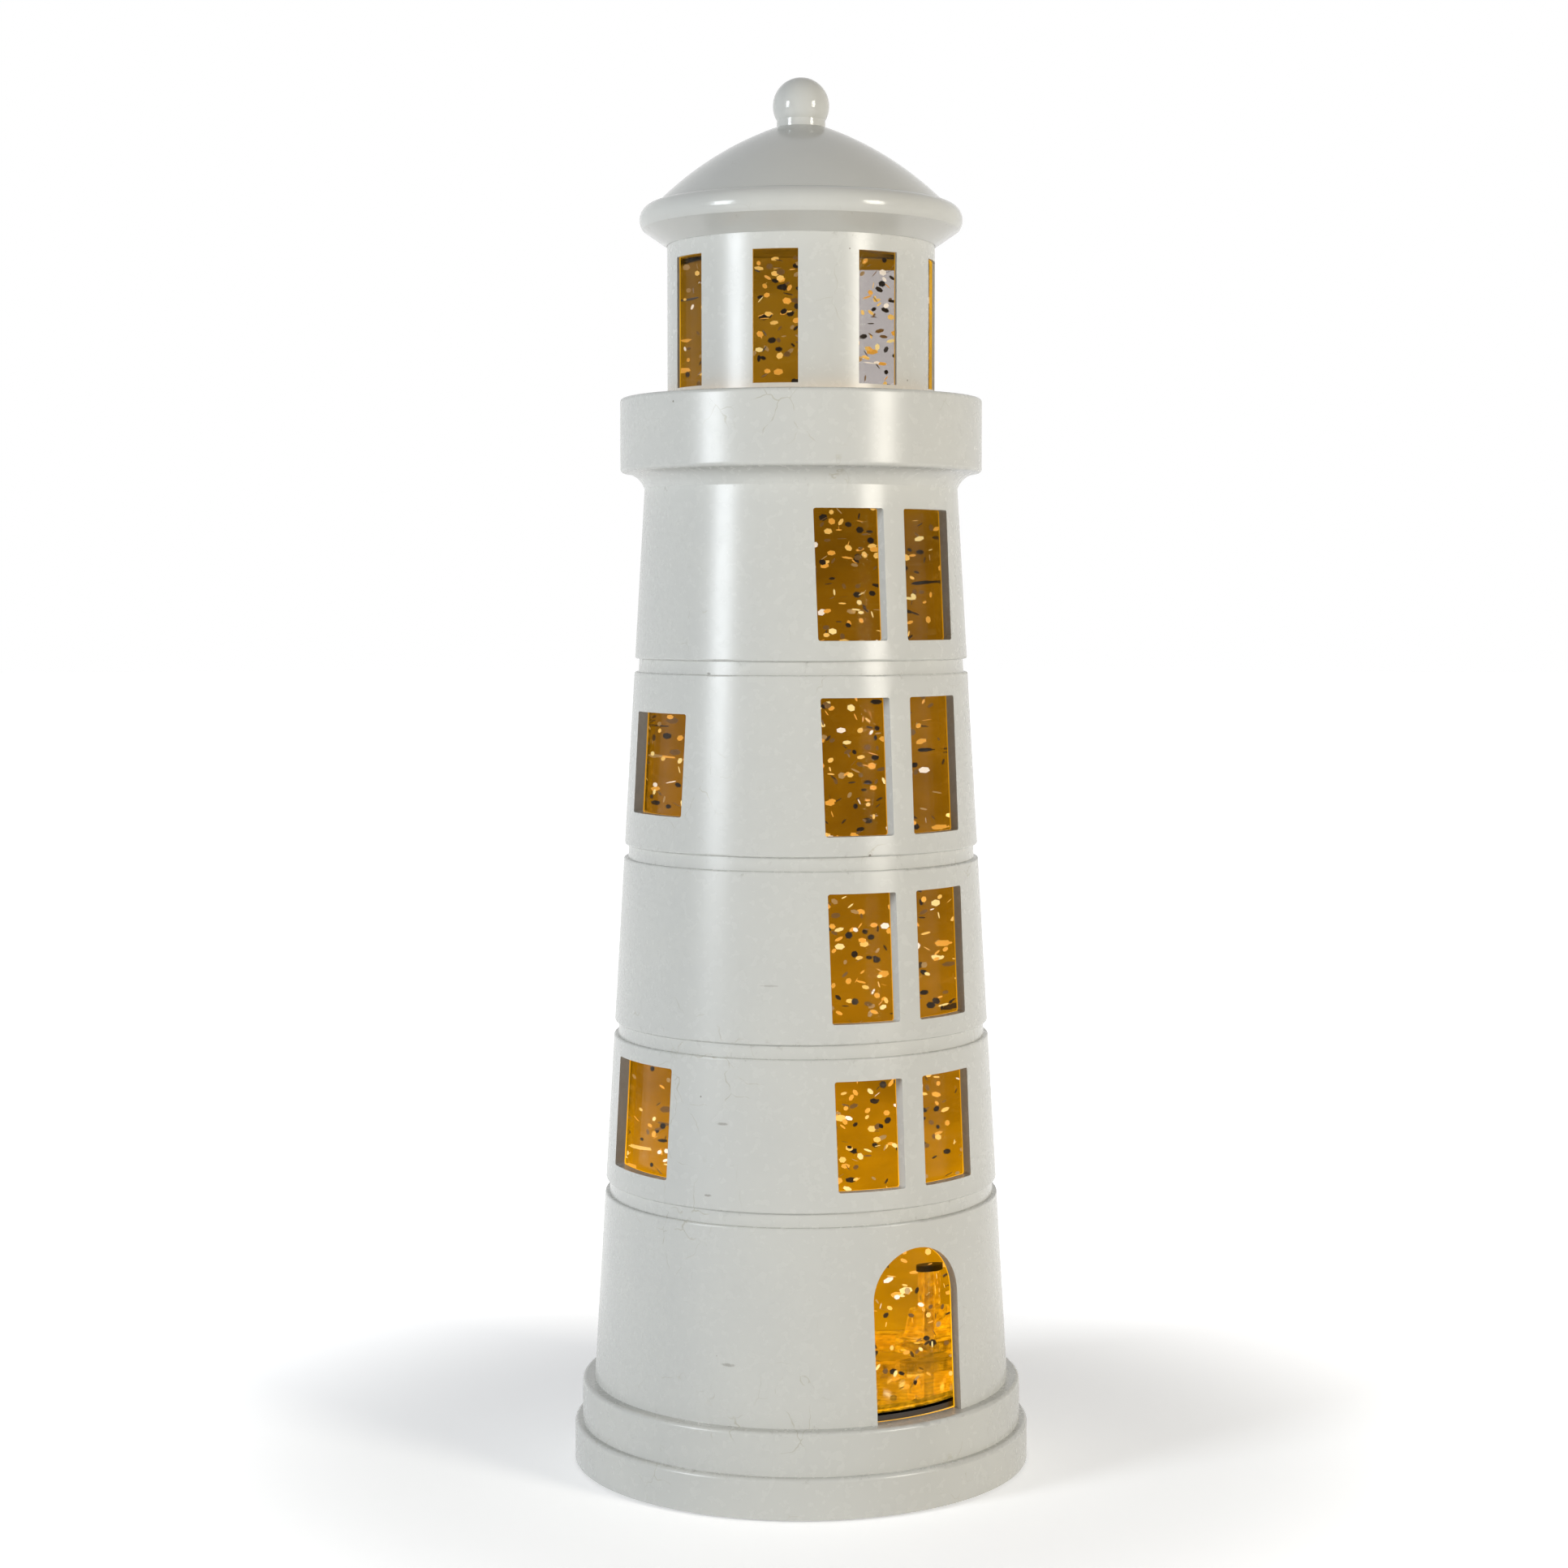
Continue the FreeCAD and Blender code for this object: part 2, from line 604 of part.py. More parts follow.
def outline(sketch, points):
    """Draw a closed outline.  A point marked "via" is the middle of an arc between its neighbours."""
    corners = [index for index, point in enumerate(points) if len(point) == 2]
    vector = [FreeCAD.Vector(as_size(point[0]).value, as_size(point[1]).value, 0) for point in points]
    edges = []
    for order, index in enumerate(corners):
        following = corners[(order + 1) % len(corners)]
        bent = (index + 1) % len(points) != following
        if bent:
            middle = (index + 1) % len(points)
            curve, forward = arc_through(vector[index], vector[middle], vector[following])
            geometry = sketch.addGeometry(curve, False)
            helper = sketch.addGeometry(Part.Point(vector[middle]), True)
            pin_point(sketch, helper, 1, points[middle][0], points[middle][1])
            sketch.addConstraint(Sketcher.Constraint("PointOnObject", helper, 1, geometry))
            edges.append((geometry, 1, 2) if forward else (geometry, 2, 1))
        else:
            geometry = sketch.addGeometry(Part.LineSegment(vector[index], vector[following]), False)
            edges.append((geometry, 1, 2))
    for order, index in enumerate(corners):
        geometry, start, stop = edges[order]
        before = edges[order - 1]
        sketch.addConstraint(Sketcher.Constraint("Coincident", before[0], before[2], geometry, start))
        pin_point(sketch, geometry, start, points[index][0], points[index][1])


def rectangle(sketch, x_range, y_range):
    (west, east), (low, high) = x_range, y_range
    outline(sketch, [(west, low), (east, low), (east, high), (west, high)])


def circle(sketch, x, y, radius):
    centre = FreeCAD.Vector(as_size(x).value, as_size(y).value, 0)
    curve = Part.Circle(centre, FreeCAD.Vector(0, 0, 1), as_size(radius).value)
    geometry = sketch.addGeometry(curve, False)
    pin_point(sketch, geometry, 3, x, y)
    index = sketch.addConstraint(Sketcher.Constraint("Radius", geometry, as_size(radius).value))
    label = f"Radius_{geometry}"
    sketch.renameConstraint(index, label)
    sketch.setExpression(f"Constraints.{label}", as_size(radius).text)


def revolve(body, points):
    """Turn a half outline, given as radius and height, about the vertical axis."""
    sketch = new_sketch(body, f"{body.Name}_profile", "XZ_Plane")
    outline(sketch, points)
    feature = body.newObject("PartDesign::Revolution", f"{body.Name}_turned")
    feature.Profile = sketch
    feature.ReferenceAxis = (sketch, ["V_Axis"])
    feature.Angle = 360
    return feature


def extrude(body, kind, name, sketch, length, towards_minus=False):
    """A Pad or a Pocket of one length."""
    feature = body.newObject(f"PartDesign::{kind}", name)
    feature.Profile = sketch
    feature.Type = "Length"
    feature.Reversed = towards_minus
    bind(feature, "Length", length)
    return feature


def polar(body, name, originals, count):
    """Repeat features about the vertical axis."""
    pattern = body.newObject("PartDesign::PolarPattern", name)
    pattern.Originals = originals
    pattern.Axis = (origin_feature(body, "Z_Axis"), [""])
    pattern.Angle = 360
    bind(pattern, "Occurrences", count)
    body.Tip = pattern
    return pattern


def round_edges(body, name, radius, chosen):
    """Round the edges of the body's last feature that a test picks."""
    doc.recompute()
    base = body.Tip
    names = [f"Edge{index}" for index, edge in enumerate(base.Shape.Edges, start=1) if chosen(edge)]
    feature = body.newObject("PartDesign::Fillet", name)
    feature.Base = (base, names)
    bind(feature, "Radius", radius)
    return feature


def is_ring(edge, radius, level):
    """Whether an edge is the horizontal circle of that radius at that height."""
    if not isinstance(edge.Curve, Part.Circle):
        return False
    centre = edge.Curve.Center
    same_place = math.hypot(centre.x, centre.y) < 1e-4 and abs(centre.z - level.value) < 1e-4
    return same_place and abs(edge.Curve.Radius - radius.value) < 1e-4


# ---------------------------------------------------------------------------
# Tower
# ---------------------------------------------------------------------------


def groove_corners(level):
    """The four corners of a groove's section."""
    low = level - s.groove_width / 2
    high = level + s.groove_width / 2
    outside = step_radius
    return [
        (tower_outside(low) - s.groove_depth, low),
        (outside, low),
        (outside, high),
        (tower_outside(high) - s.groove_depth, high),
    ]


def pane_rows():
    """Sill and head of each pair of panes over the door."""
    tops = groove_levels[1:] + [tower_top]
    heads = [s.head_margin] * 3 + [s.top_head_margin]
    return [
        (groove + s.sill_margin, top - head)
        for groove, top, head in zip(groove_levels, tops, heads)
    ]


def tongue_radii(clearance=0):
    """Inner and outer radius of the tongue that centres the gallery."""
    inner = tower_bore(tower_top) + s.tongue_inset
    return inner - clearance, inner + s.tongue_wall + clearance


def tower_shell():
    body = new_body("tower_shell")
    inner_tongue, outer_tongue = tongue_radii()
    revolve(body, [
        (skirt_bore, plinth_top),
        (step_radius, plinth_top),
        (step_radius, step_top),
        (s.tower_foot_radius, step_top),
        (s.tower_top_radius, tower_top),
        (outer_tongue, tower_top),
        (outer_tongue, tower_top + s.tongue_height),
        (inner_tongue, tower_top + s.tongue_height),
        (inner_tongue, tower_top),
        (tower_bore(tower_top), tower_top),
        (tower_bore(shoulder_under), shoulder_under),
        (skirt_bore, shoulder_under),
    ])
    grooves = new_sketch(body, "groove_sections", "XZ_Plane")
    for level in groove_levels:
        outline(grooves, groove_corners(level))
    turned = body.newObject("PartDesign::Groove", "tower_grooves")
    turned.Profile = grooves
    turned.ReferenceAxis = (grooves, ["V_Axis"])
    turned.Angle = 360
    lips = [level + side * s.groove_width / 2 for level in groove_levels for side in (-1, 1)]
    round_edges(body, "groove_lips", s.groove_round, lambda edge: any(
        is_ring(edge, tower_outside(lip), lip) for lip in lips))
    round_edges(body, "step_edge", s.edge_round, lambda edge: is_ring(edge, step_radius, step_top))
    cut_front_openings(body)
    cut_side_windows(body)
    round_openings(body)
    add_screw_bosses(body)
    return body


def cut_front_openings(body):
    """The doorway and the pairs of panes over it, cut straight back through the front wall."""
    sketch = new_sketch(body, "front_openings", "XZ_Plane")
    near = s.mullion_width / 2
    far = near + s.pane_width
    for sill, head in pane_rows():
        rectangle(sketch, (near, far), (sill, head))
        rectangle(sketch, (-far, -near), (sill, head))
    half = s.door_width / 2
    spring = step_top + s.door_straight
    outline(sketch, [
        (-half, step_top),
        (half, step_top),
        (half, spring),
        (0, spring + half, "via"),
        (-half, spring),
    ])
    extrude(body, "Pocket", "front_cut", sketch, step_radius, towards_minus=True)


def cut_side_windows(body):
    """One wide window low and one high, the same on the left and the right."""
    sketch = new_sketch(body, "side_openings", "YZ_Plane")
    low, high = s.side_low_width / 2, s.side_high_width / 2
    rectangle(sketch, (-low, low), (groove_levels[0] + s.side_low_sill, groove_levels[1] - s.side_low_head))
    rectangle(sketch, (-high, high), (groove_levels[2] + s.side_high_sill, groove_levels[3] - s.side_high_head))
    feature = body.newObject("PartDesign::Pocket", "side_cut")
    feature.Profile = sketch
    feature.Type = "Length"
    feature.Midplane = True
    bind(feature, "Length", 2 * step_radius)


def round_openings(body):
    """Round the corners of the rectangular openings, which run straight through the wall."""
    longest = 2 * s.tower_wall.value

    def is_corner(edge):
        if not isinstance(edge.Curve, Part.Line) or edge.Length > longest:
            return False
        level = edge.CenterOfMass.z
        flat = abs(edge.Vertexes[0].Point.z - edge.Vertexes[-1].Point.z) < 1e-4
        return flat and groove_levels[0].value < level < tower_top.value

    round_edges(body, "opening_corners", s.corner_round, is_corner)


def add_screw_bosses(body):
    """Four bosses on the skirt's inside that take the base screws."""
    reach = screw_circle * COS_45
    solid = new_sketch(body, "boss_section", "XY_Plane", plinth_top)
    circle(solid, reach, reach, s.boss_radius)
    boss = extrude(body, "Pad", "boss", solid, shoulder_under - plinth_top)
    bore = new_sketch(body, "boss_bore_section", "XY_Plane", plinth_top)
    circle(bore, reach, reach, s.boss_hole_radius)
    hole = extrude(body, "Pocket", "boss_bore", bore, s.screw_bite + s.boss_clearance, towards_minus=True)
    polar(body, "boss_pattern", [boss, hole], 4)


# ---------------------------------------------------------------------------
# Gallery, lantern room, roof and finial
# ---------------------------------------------------------------------------


def gallery_ring():
    body = new_body("gallery_ring")
    inner_slot, outer_slot = tongue_radii(s.tongue_clearance)
    slot_top = tower_top + s.tongue_height + s.tongue_clearance
    cove_middle = (s.tower_top_radius + cove_radius) / 2
    floor_under = gallery_top - s.gallery_wall
    bore = tower_bore(tower_top)
    hole = s.lantern_radius + s.lantern_hole_gap
    revolve(body, [
        (bore, tower_top),
        (inner_slot, tower_top),
        (inner_slot, slot_top),
        (outer_slot, slot_top),
        (outer_slot, tower_top),
        (s.tower_top_radius, tower_top),
        (cove_middle - s.cove_hollow * COS_45, tower_top + s.cove_height / 2 + s.cove_hollow * COS_45, "via"),
        (cove_radius, gallery_low),
        (gallery_radius, gallery_low),
        (gallery_radius, gallery_top),
        (hole, gallery_top),
        (hole, floor_under),
        (gallery_radius - s.gallery_wall, floor_under),
        (gallery_radius - s.gallery_wall, gallery_low + s.gallery_wall),
        (bore, gallery_low + s.gallery_wall),
    ])
    round_edges(body, "band_edges", s.edge_round, lambda edge: (
        is_ring(edge, gallery_radius, gallery_low) or is_ring(edge, gallery_radius, gallery_top)))
    return body


def lantern_room():
    body = new_body("lantern_room")
    flange_top = gallery_top - s.gallery_wall
    flange_low = flange_top - s.lantern_flange_thick
    revolve(body, [
        (lantern_bore, flange_low),
        (s.lantern_flange_radius, flange_low),
        (s.lantern_flange_radius, flange_top),
        (s.lantern_radius, flange_top),
        (s.lantern_radius, lantern_top),
        (lantern_bore, lantern_top),
    ])
    sketch = new_sketch(body, "lantern_opening", "XZ_Plane")
    half = s.lantern_window_width / 2
    rectangle(sketch, (-half, half), (gallery_top + s.lantern_window_sill, roof_line - s.lantern_window_head))
    window = extrude(body, "Pocket", "lantern_window", sketch, gallery_radius, towards_minus=True)
    polar(body, "lantern_window_ring", [window], s.lantern_windows)
    return body


def roof_cap():
    body = new_body("roof_cap")
    groove_inner = lantern_bore - s.roof_groove_gap
    groove_outer = s.lantern_radius + s.roof_groove_gap
    lip_inner = groove_inner - s.roof_lip_wall
    under_slope = s.crease_radius - s.roof_wall
    screw_hole = s.finial_screw_radius + s.screw_clearance
    revolve(body, [
        (groove_outer, roof_line),
        (s.eave_radius, eave_level),
        (s.lip_radius, eave_level + s.lip_rise, "via"),
        (s.crease_radius, crease_level),
        (s.slope_mid_radius, crease_level + s.slope_mid_rise, "via"),
        (s.crown_radius, crown_level),
        (screw_hole, crown_level),
        (screw_hole, crown_level - s.roof_wall),
        (s.crown_radius, crown_level - s.roof_wall),
        (s.slope_mid_radius - s.roof_wall / 2, crease_level + s.slope_mid_rise - s.roof_wall, "via"),
        (under_slope, crease_level - s.roof_wall / 2),
        (s.eave_radius - s.roof_wall, eave_level + s.roof_wall),
        (lip_inner, lantern_top + s.roof_wall),
        (lip_inner, lantern_top - s.roof_lip_drop),
        (groove_inner, lantern_top - s.roof_lip_drop),
        (groove_inner, lantern_top),
        (groove_outer, lantern_top),
    ])
    return body


def finial():
    middle = crown_level + s.finial_lift
    ball = doc.addObject("Part::Sphere", "finial_ball")
    bind(ball, "Radius", s.finial_ball_radius)
    place(ball, z=middle)
    neck = cylinder("finial_neck", s.finial_neck_radius, s.finial_neck_height, z=crown_level)
    flat = cylinder("finial_flat", 2 * s.finial_ball_radius, s.finial_ball_radius,
                    z=crown_level - s.finial_ball_radius)
    hole = cylinder("finial_hole", s.finial_screw_radius + s.small_screw_gap,
                    s.finial_screw_bite + s.screw_clearance, z=crown_level)
    return cut("finial", fuse("finial_solid", [ball, neck]), [flat, hole])


def screw(name, head_radius, head_height, shank_radius, length, x, y, seat, up):
    """A cross-head screw whose head sits at a height and whose shank runs up or down from it."""
    seat, length = as_size(seat), as_size(length)
    head_height, shank_radius = as_size(head_height), as_size(shank_radius)
    point = shank_radius
    recess_depth = head_height / 2
    recess_width = shank_radius / 2
    recess_length = as_size(head_radius) * RECESS_SPREAD
    if up:
        head_low = seat - head_height
        shank_low = seat
        recess = (head_low - recess_depth, head_low + recess_depth)
        tip = cone(f"{name}_tip", shank_radius, shank_radius * POINT_SHARE, point, x, y, seat + length - point)
    else:
        head_low = seat
        shank_low = seat - length + point
        recess = (seat + recess_depth, seat + head_height + recess_depth)
        tip = cone(f"{name}_tip", shank_radius * POINT_SHARE, shank_radius, point, x, y, seat - length)
    head = cylinder(f"{name}_head", head_radius, head_height, x, y, head_low)
    shank = cylinder(f"{name}_shank", shank_radius, length - point, x, y, shank_low)
    slots = [
        centred_block(f"{name}_slot_x", x, y, recess_length, recess_width, *recess),
        centred_block(f"{name}_slot_y", x, y, recess_width, recess_length, *recess),
    ]
    return cut(name, fuse(f"{name}_solid", [head, shank, tip]), slots)


def finial_screw():
    return screw("finial_screw", s.screw_head_radius, s.screw_head_height, s.finial_screw_radius,
                 s.roof_wall + s.finial_screw_bite, 0, 0, crown_level - s.roof_wall, up=True)


# ---------------------------------------------------------------------------
# Vessel and liquid
# ---------------------------------------------------------------------------


def vessel_outline(shrink, low):
    """The vessel's outside from its foot to the edge of its flat top, moved inwards by a wall."""
    neck = neck_radius - shrink
    bend = s.dome_round - shrink
    return [
        (vessel_outside(low) - shrink, low),
        (vessel_outside(vessel_shoulder) - shrink, vessel_shoulder),
        (neck, neck_low),
        (neck, neck_high),
        (neck - bend + bend * COS_45, neck_high + bend * COS_45, "via"),
        (neck - bend, neck_high + bend),
    ]


def liquid_vessel():
    body = new_body("liquid_vessel")
    outside = vessel_outline(as_size(0), vessel_foot)
    inside = vessel_outline(s.vessel_wall, vessel_foot)
    filler = [
        (s.filler_radius, vessel_top),
        (s.filler_radius, filler_top),
        (s.filler_bore, filler_top),
        (s.filler_bore, vessel_top - s.vessel_wall),
    ]
    revolve(body, outside + filler + inside[::-1])
    return body


def vessel_floor():
    reach = vessel_outside(vessel_floor_top) - s.vessel_wall - s.vessel_floor_gap
    disc = cylinder("vessel_floor_disc", reach, s.vessel_floor_thick, z=vessel_foot)
    boss = cylinder("spindle_boss", s.spindle_boss_radius, s.spindle_boss_height, s.impeller_x, 0, vessel_floor_top)
    hole = cylinder("spindle_hole", s.spindle_radius + s.press_gap, s.spindle_sink + 2 * s.spindle_boss_height,
                    s.impeller_x, 0, vessel_floor_top - s.spindle_sink)
    return cut("vessel_floor", fuse("vessel_floor_solid", [disc, boss]), [hole])


def vessel_gasket():
    outer = vessel_outside(vessel_foot)
    return ring("vessel_gasket", outer, outer - s.gasket_width, s.gasket_thick, z=deck_top)


def filler_plug():
    stem = cylinder("plug_stem", s.filler_bore - s.plug_clearance, s.plug_length, z=filler_top - s.plug_length)
    head = cylinder("plug_head_disc", s.filler_radius, s.plug_head, z=filler_top)
    return fuse("filler_plug", [stem, head])


def glitter_fluid():
    """The liquid, left open round the impeller so that the blades turn freely."""
    body = new_body("liquid_volume")
    low = vessel_floor_top + s.liquid_gap
    skin = vessel_outline(s.vessel_wall + s.liquid_gap, low)
    revolve(body, [(0, low)] + skin + [(0, skin[-1][1])])
    sweep = cylinder("impeller_sweep", s.blade_reach + s.sweep_gap, cap_top + s.sweep_gap - vessel_foot,
                     s.impeller_x, 0, vessel_foot)
    plug_room = cylinder("plug_room", s.filler_bore, s.plug_length, z=filler_top - s.plug_length - s.liquid_gap)
    return cut("glitter_fluid", body, [sweep, plug_room])


# ---------------------------------------------------------------------------
# Impeller
# ---------------------------------------------------------------------------


def impeller():
    x = s.impeller_x
    solids = [
        cylinder("impeller_skirt", s.impeller_skirt_radius, s.impeller_skirt_height, x, 0, impeller_bottom),
        cone("impeller_hub", s.hub_foot_radius, s.hub_top_radius, s.hub_height, x, 0, hub_bottom),
        cylinder("impeller_sleeve", s.sleeve_radius, s.sleeve_height, x, 0, hub_top),
    ]
    for index in range(int(s.blade_count.value)):
        solids.append(impeller_blade(index))
    bore = cylinder("impeller_bore", s.spindle_radius + s.spindle_fit, sleeve_top - impeller_bottom + 2 * OVERCUT,
                    x, 0, impeller_bottom - OVERCUT)
    pocket = ring("magnet_pocket", s.ring_magnet_radius + s.ring_magnet_gap,
                  s.ring_magnet_bore - s.ring_magnet_gap, s.ring_magnet_thick + s.ring_magnet_gap + OVERCUT,
                  x, 0, impeller_bottom - OVERCUT)
    return cut("impeller", fuse("impeller_solid", solids), [bore, pocket])


def impeller_blade(index):
    """One flat blade, sloped about its own radius and trimmed to the skirt's height."""
    blade = doc.addObject("Part::Box", f"blade_{index}")
    bind(blade, "Length", s.blade_reach - s.blade_root)
    bind(blade, "Width", s.blade_thick)
    bind(blade, "Height", s.blade_chord)
    place(blade, s.blade_root, s.blade_thick / -2, s.blade_chord / -2)
    sloped = group(f"sloped_blade_{index}", [blade])
    turn(sloped, 90 - s.blade_pitch.value, (1, 0, 0))
    placed = group(f"placed_blade_{index}", [sloped])
    turn(placed, 360 * (index + 0.5) / s.blade_count.value)
    place(placed, s.impeller_x, 0, impeller_bottom + s.impeller_skirt_height / 2)
    return placed


def impeller_magnet():
    return ring("impeller_magnet", s.ring_magnet_radius, s.ring_magnet_bore, s.ring_magnet_thick,
                s.impeller_x, 0, impeller_bottom)


def impeller_spindle():
    low = vessel_floor_top - s.spindle_sink
    return cylinder("impeller_spindle", s.spindle_radius, cap_top - s.cap_gap - low, s.impeller_x, 0, low)


def spindle_cap():
    cap = cylinder("cap_disc", s.cap_radius, s.cap_height, s.impeller_x, 0, cap_bottom)
    hole = cylinder("cap_hole", s.spindle_radius + s.press_gap, s.cap_height, s.impeller_x, 0, cap_bottom - s.cap_gap)
    return cut("spindle_cap", cap, [hole])


# ---------------------------------------------------------------------------
# Motor and magnetic drive
# ---------------------------------------------------------------------------


def motor_can():
    x = s.impeller_x
    can = cylinder("can_outside", s.motor_radius, s.motor_height, x, 0, motor_bottom)
    boss = cylinder("can_boss", s.motor_boss_radius, s.motor_boss_height, x, 0, motor_top)
    hollow = cylinder("can_hollow", s.motor_radius - s.can_wall, s.motor_height - s.can_wall + OVERCUT,
                      x, 0, motor_bottom - OVERCUT)
    seat = cylinder("can_bush_seat", s.bush_radius + s.press_gap, s.bush_length + OVERCUT, x, 0, motor_boss_top - s.bush_length)
    return cut("motor_can", fuse("can_solid", [can, boss]), [hollow, seat])


def motor_end_cap():
    x = s.impeller_x
    radius = s.motor_radius - s.can_wall - s.end_cap_gap
    disc = cylinder("end_cap_disc", radius, s.end_cap_thick, x, 0, motor_bottom)
    hole = cylinder("end_cap_hole", s.bush_radius + s.press_gap, 2 * s.end_cap_thick, x, 0, motor_bottom - s.end_cap_thick / 2)
    return cut("motor_end_cap", disc, [hole])


def motor_bushes():
    x = s.impeller_x
    bore = s.shaft_radius + s.shaft_fit
    low = ring("bush_low", s.bush_radius, bore, s.bush_length, x, 0, motor_bottom)
    high = ring("bush_high", s.bush_radius, bore, s.bush_length, x, 0, motor_boss_top - s.bush_length)
    return group("motor_bushes", [low, high])


def motor_shaft():
    low = motor_bottom + s.shaft_end_gap
    return cylinder("motor_shaft", s.shaft_radius, carrier_top - low, s.impeller_x, 0, low)


def arc_piece(name, outer, thickness, height, low, middle_angle, arc, x=0):
    """Part of a ring, centred on an angle."""
    sector = doc.addObject("Part::Cylinder", f"{name}_sector")
    bind(sector, "Radius", outer)
    bind(sector, "Height", height)
    bind(sector, "Angle", arc)
    turn(sector, middle_angle - as_size(arc).value / 2)
    place(sector, x, 0, low)
    hole = cylinder(f"{name}_hole", outer - thickness, as_size(height) + 2 * OVERCUT, x, 0, low - OVERCUT)
    return cut(name, sector, [hole])


def stator_magnets():
    low = motor_bottom + s.armature_lift + (s.armature_height - s.stator_height) / 2
    arcs = [
        arc_piece(f"stator_{side}", s.stator_radius, s.stator_thick, s.stator_height, low, angle,
                  s.stator_arc, s.impeller_x)
        for side, angle in (("left", 180), ("right", 0))
    ]
    return group("stator_magnets", arcs)


def about_motor(name, items, angle):
    """Turn pieces drawn about the origin and set them on the motor's axis."""
    placed = group(name, items)
    turn(placed, angle)
    return place(placed, s.impeller_x, 0, 0)


POLE_ANGLES = (90, 210, 330)


def armature_core():
    low = motor_bottom + s.armature_lift
    high = low + s.armature_height
    poles = []
    for index, angle in enumerate(POLE_ANGLES):
        stem = block(f"pole_stem_{index}", (0, s.armature_radius - s.pole_shoe_thick / 2),
                     (s.pole_stem_width / -2, s.pole_stem_width / 2), (low, high))
        shoe_block = block(f"pole_shoe_block_{index}", (0, 2 * s.armature_radius),
                           (s.pole_shoe_width / -2, s.pole_shoe_width / 2), (low, high))
        shoe_ring = ring(f"pole_shoe_ring_{index}", s.armature_radius,
                         s.armature_radius - s.pole_shoe_thick, s.armature_height, z=low)
        shoe = doc.addObject("Part::Common", f"pole_shoe_{index}")
        shoe.Base = shoe_block
        shoe.Tool = shoe_ring
        pole = fuse(f"pole_{index}", [stem, shoe])
        poles.append(about_motor(f"placed_pole_{index}", [pole], angle))
    hub = cylinder("core_hub", s.armature_hub_radius, s.armature_height, s.impeller_x, 0, low)
    bore = cylinder("core_bore", s.shaft_radius + s.press_gap, 2 * s.armature_height, s.impeller_x, 0,
                    low - s.armature_height / 2)
    return cut("armature_core", fuse("core_solid", [hub] + poles), [bore])


def armature_windings():
    low = motor_bottom + s.armature_lift
    high = low + s.armature_height
    inner = s.armature_hub_radius + s.winding_proud
    outer = s.armature_radius - s.pole_shoe_thick - s.winding_proud
    arm = s.pole_stem_width / 2 + s.winding_gap
    coils = []
    for index, angle in enumerate(POLE_ANGLES):
        coil = block(f"coil_block_{index}", (inner, outer), (s.winding_width / -2, s.winding_width / 2),
                     (low - s.winding_proud, high + s.winding_proud))
        hole = block(f"coil_hole_{index}", (inner - s.winding_proud, outer + s.winding_proud), (-arm, arm),
                     (low - s.winding_gap, high + s.winding_gap))
        coils.append(about_motor(f"placed_coil_{index}", [cut(f"coil_{index}", coil, [hole])], angle))
    return group("armature_windings", coils)


def commutator():
    return ring("commutator", s.commutator_radius, s.shaft_radius + s.press_gap, s.commutator_height,
                s.impeller_x, 0, motor_bottom + s.commutator_lift)


def motor_brushes():
    low = motor_bottom + s.commutator_lift + (s.commutator_height - s.brush_height) / 2
    brushes = []
    for side in (-1, 1):
        near = s.impeller_x + side * (s.commutator_radius + s.brush_gap)
        far = near + side * s.brush_length
        x_range = (near, far) if side > 0 else (far, near)
        brushes.append(block(f"brush_{side + 1}", x_range, (s.brush_width / -2, s.brush_width / 2),
                             (low, low + s.brush_height)))
    return group("motor_brushes", brushes)


def magnet_carrier():
    x = s.impeller_x
    disc = cylinder("carrier_disc", s.carrier_radius, s.carrier_thick, x, 0, carrier_bottom)
    hole = cylinder("carrier_hole", s.shaft_radius + s.press_gap, 2 * s.carrier_thick,
                    x, 0, carrier_bottom - s.carrier_thick / 2)
    pocket_low = carrier_top - s.drive_magnet_thick - s.drive_magnet_gap
    pockets = [
        cylinder(f"carrier_pocket_{side + 1}", s.drive_magnet_radius + s.drive_magnet_gap, s.carrier_thick,
                 x + side * s.drive_magnet_offset, 0, pocket_low)
        for side in (-1, 1)
    ]
    return cut("magnet_carrier", disc, [hole] + pockets)


def drive_magnets():
    low = carrier_top - s.drive_magnet_thick
    return group("drive_magnets", [
        cylinder(f"drive_magnet_{side + 1}", s.drive_magnet_radius, s.drive_magnet_thick,
                 s.impeller_x + side * s.drive_magnet_offset, 0, low)
        for side in (-1, 1)
    ])


def motor_pad():
    return ring("motor_pad", s.pad_radius, s.bush_radius, s.pad_thick, s.impeller_x, 0, pan_top)


def motor_strap():
    reach = 2 * (s.strap_post_offset + s.strap_overhang)
    plate = centred_block("strap_plate", s.impeller_x, 0, s.strap_width, reach, motor_top, strap_top)
    tools = [cylinder("strap_hole", s.motor_boss_radius + s.strap_hole_gap, s.motor_boss_height,
                      s.impeller_x, 0, motor_top - s.strap_thick / 2)]
    for side in (-1, 1):
        tools.append(cylinder(f"strap_screw_hole_{side + 1}", s.small_screw_shank_radius + s.screw_clearance,
                              2 * s.strap_thick, s.impeller_x, side * s.strap_post_offset,
                              motor_top - s.strap_thick / 2))
    return cut("motor_strap", plate, tools)


def small_screw(name, x, y, seat):
    return screw(name, s.small_screw_head_radius, s.small_screw_head_height, s.small_screw_shank_radius,
                 s.small_screw_length, x, y, seat, up=False)


def strap_screws():
    return group("strap_screws", [
        small_screw(f"strap_screw_{side + 1}", s.impeller_x, side * s.strap_post_offset, strap_top)
        for side in (-1, 1)
    ])


# ---------------------------------------------------------------------------
# Deck and lights
# ---------------------------------------------------------------------------


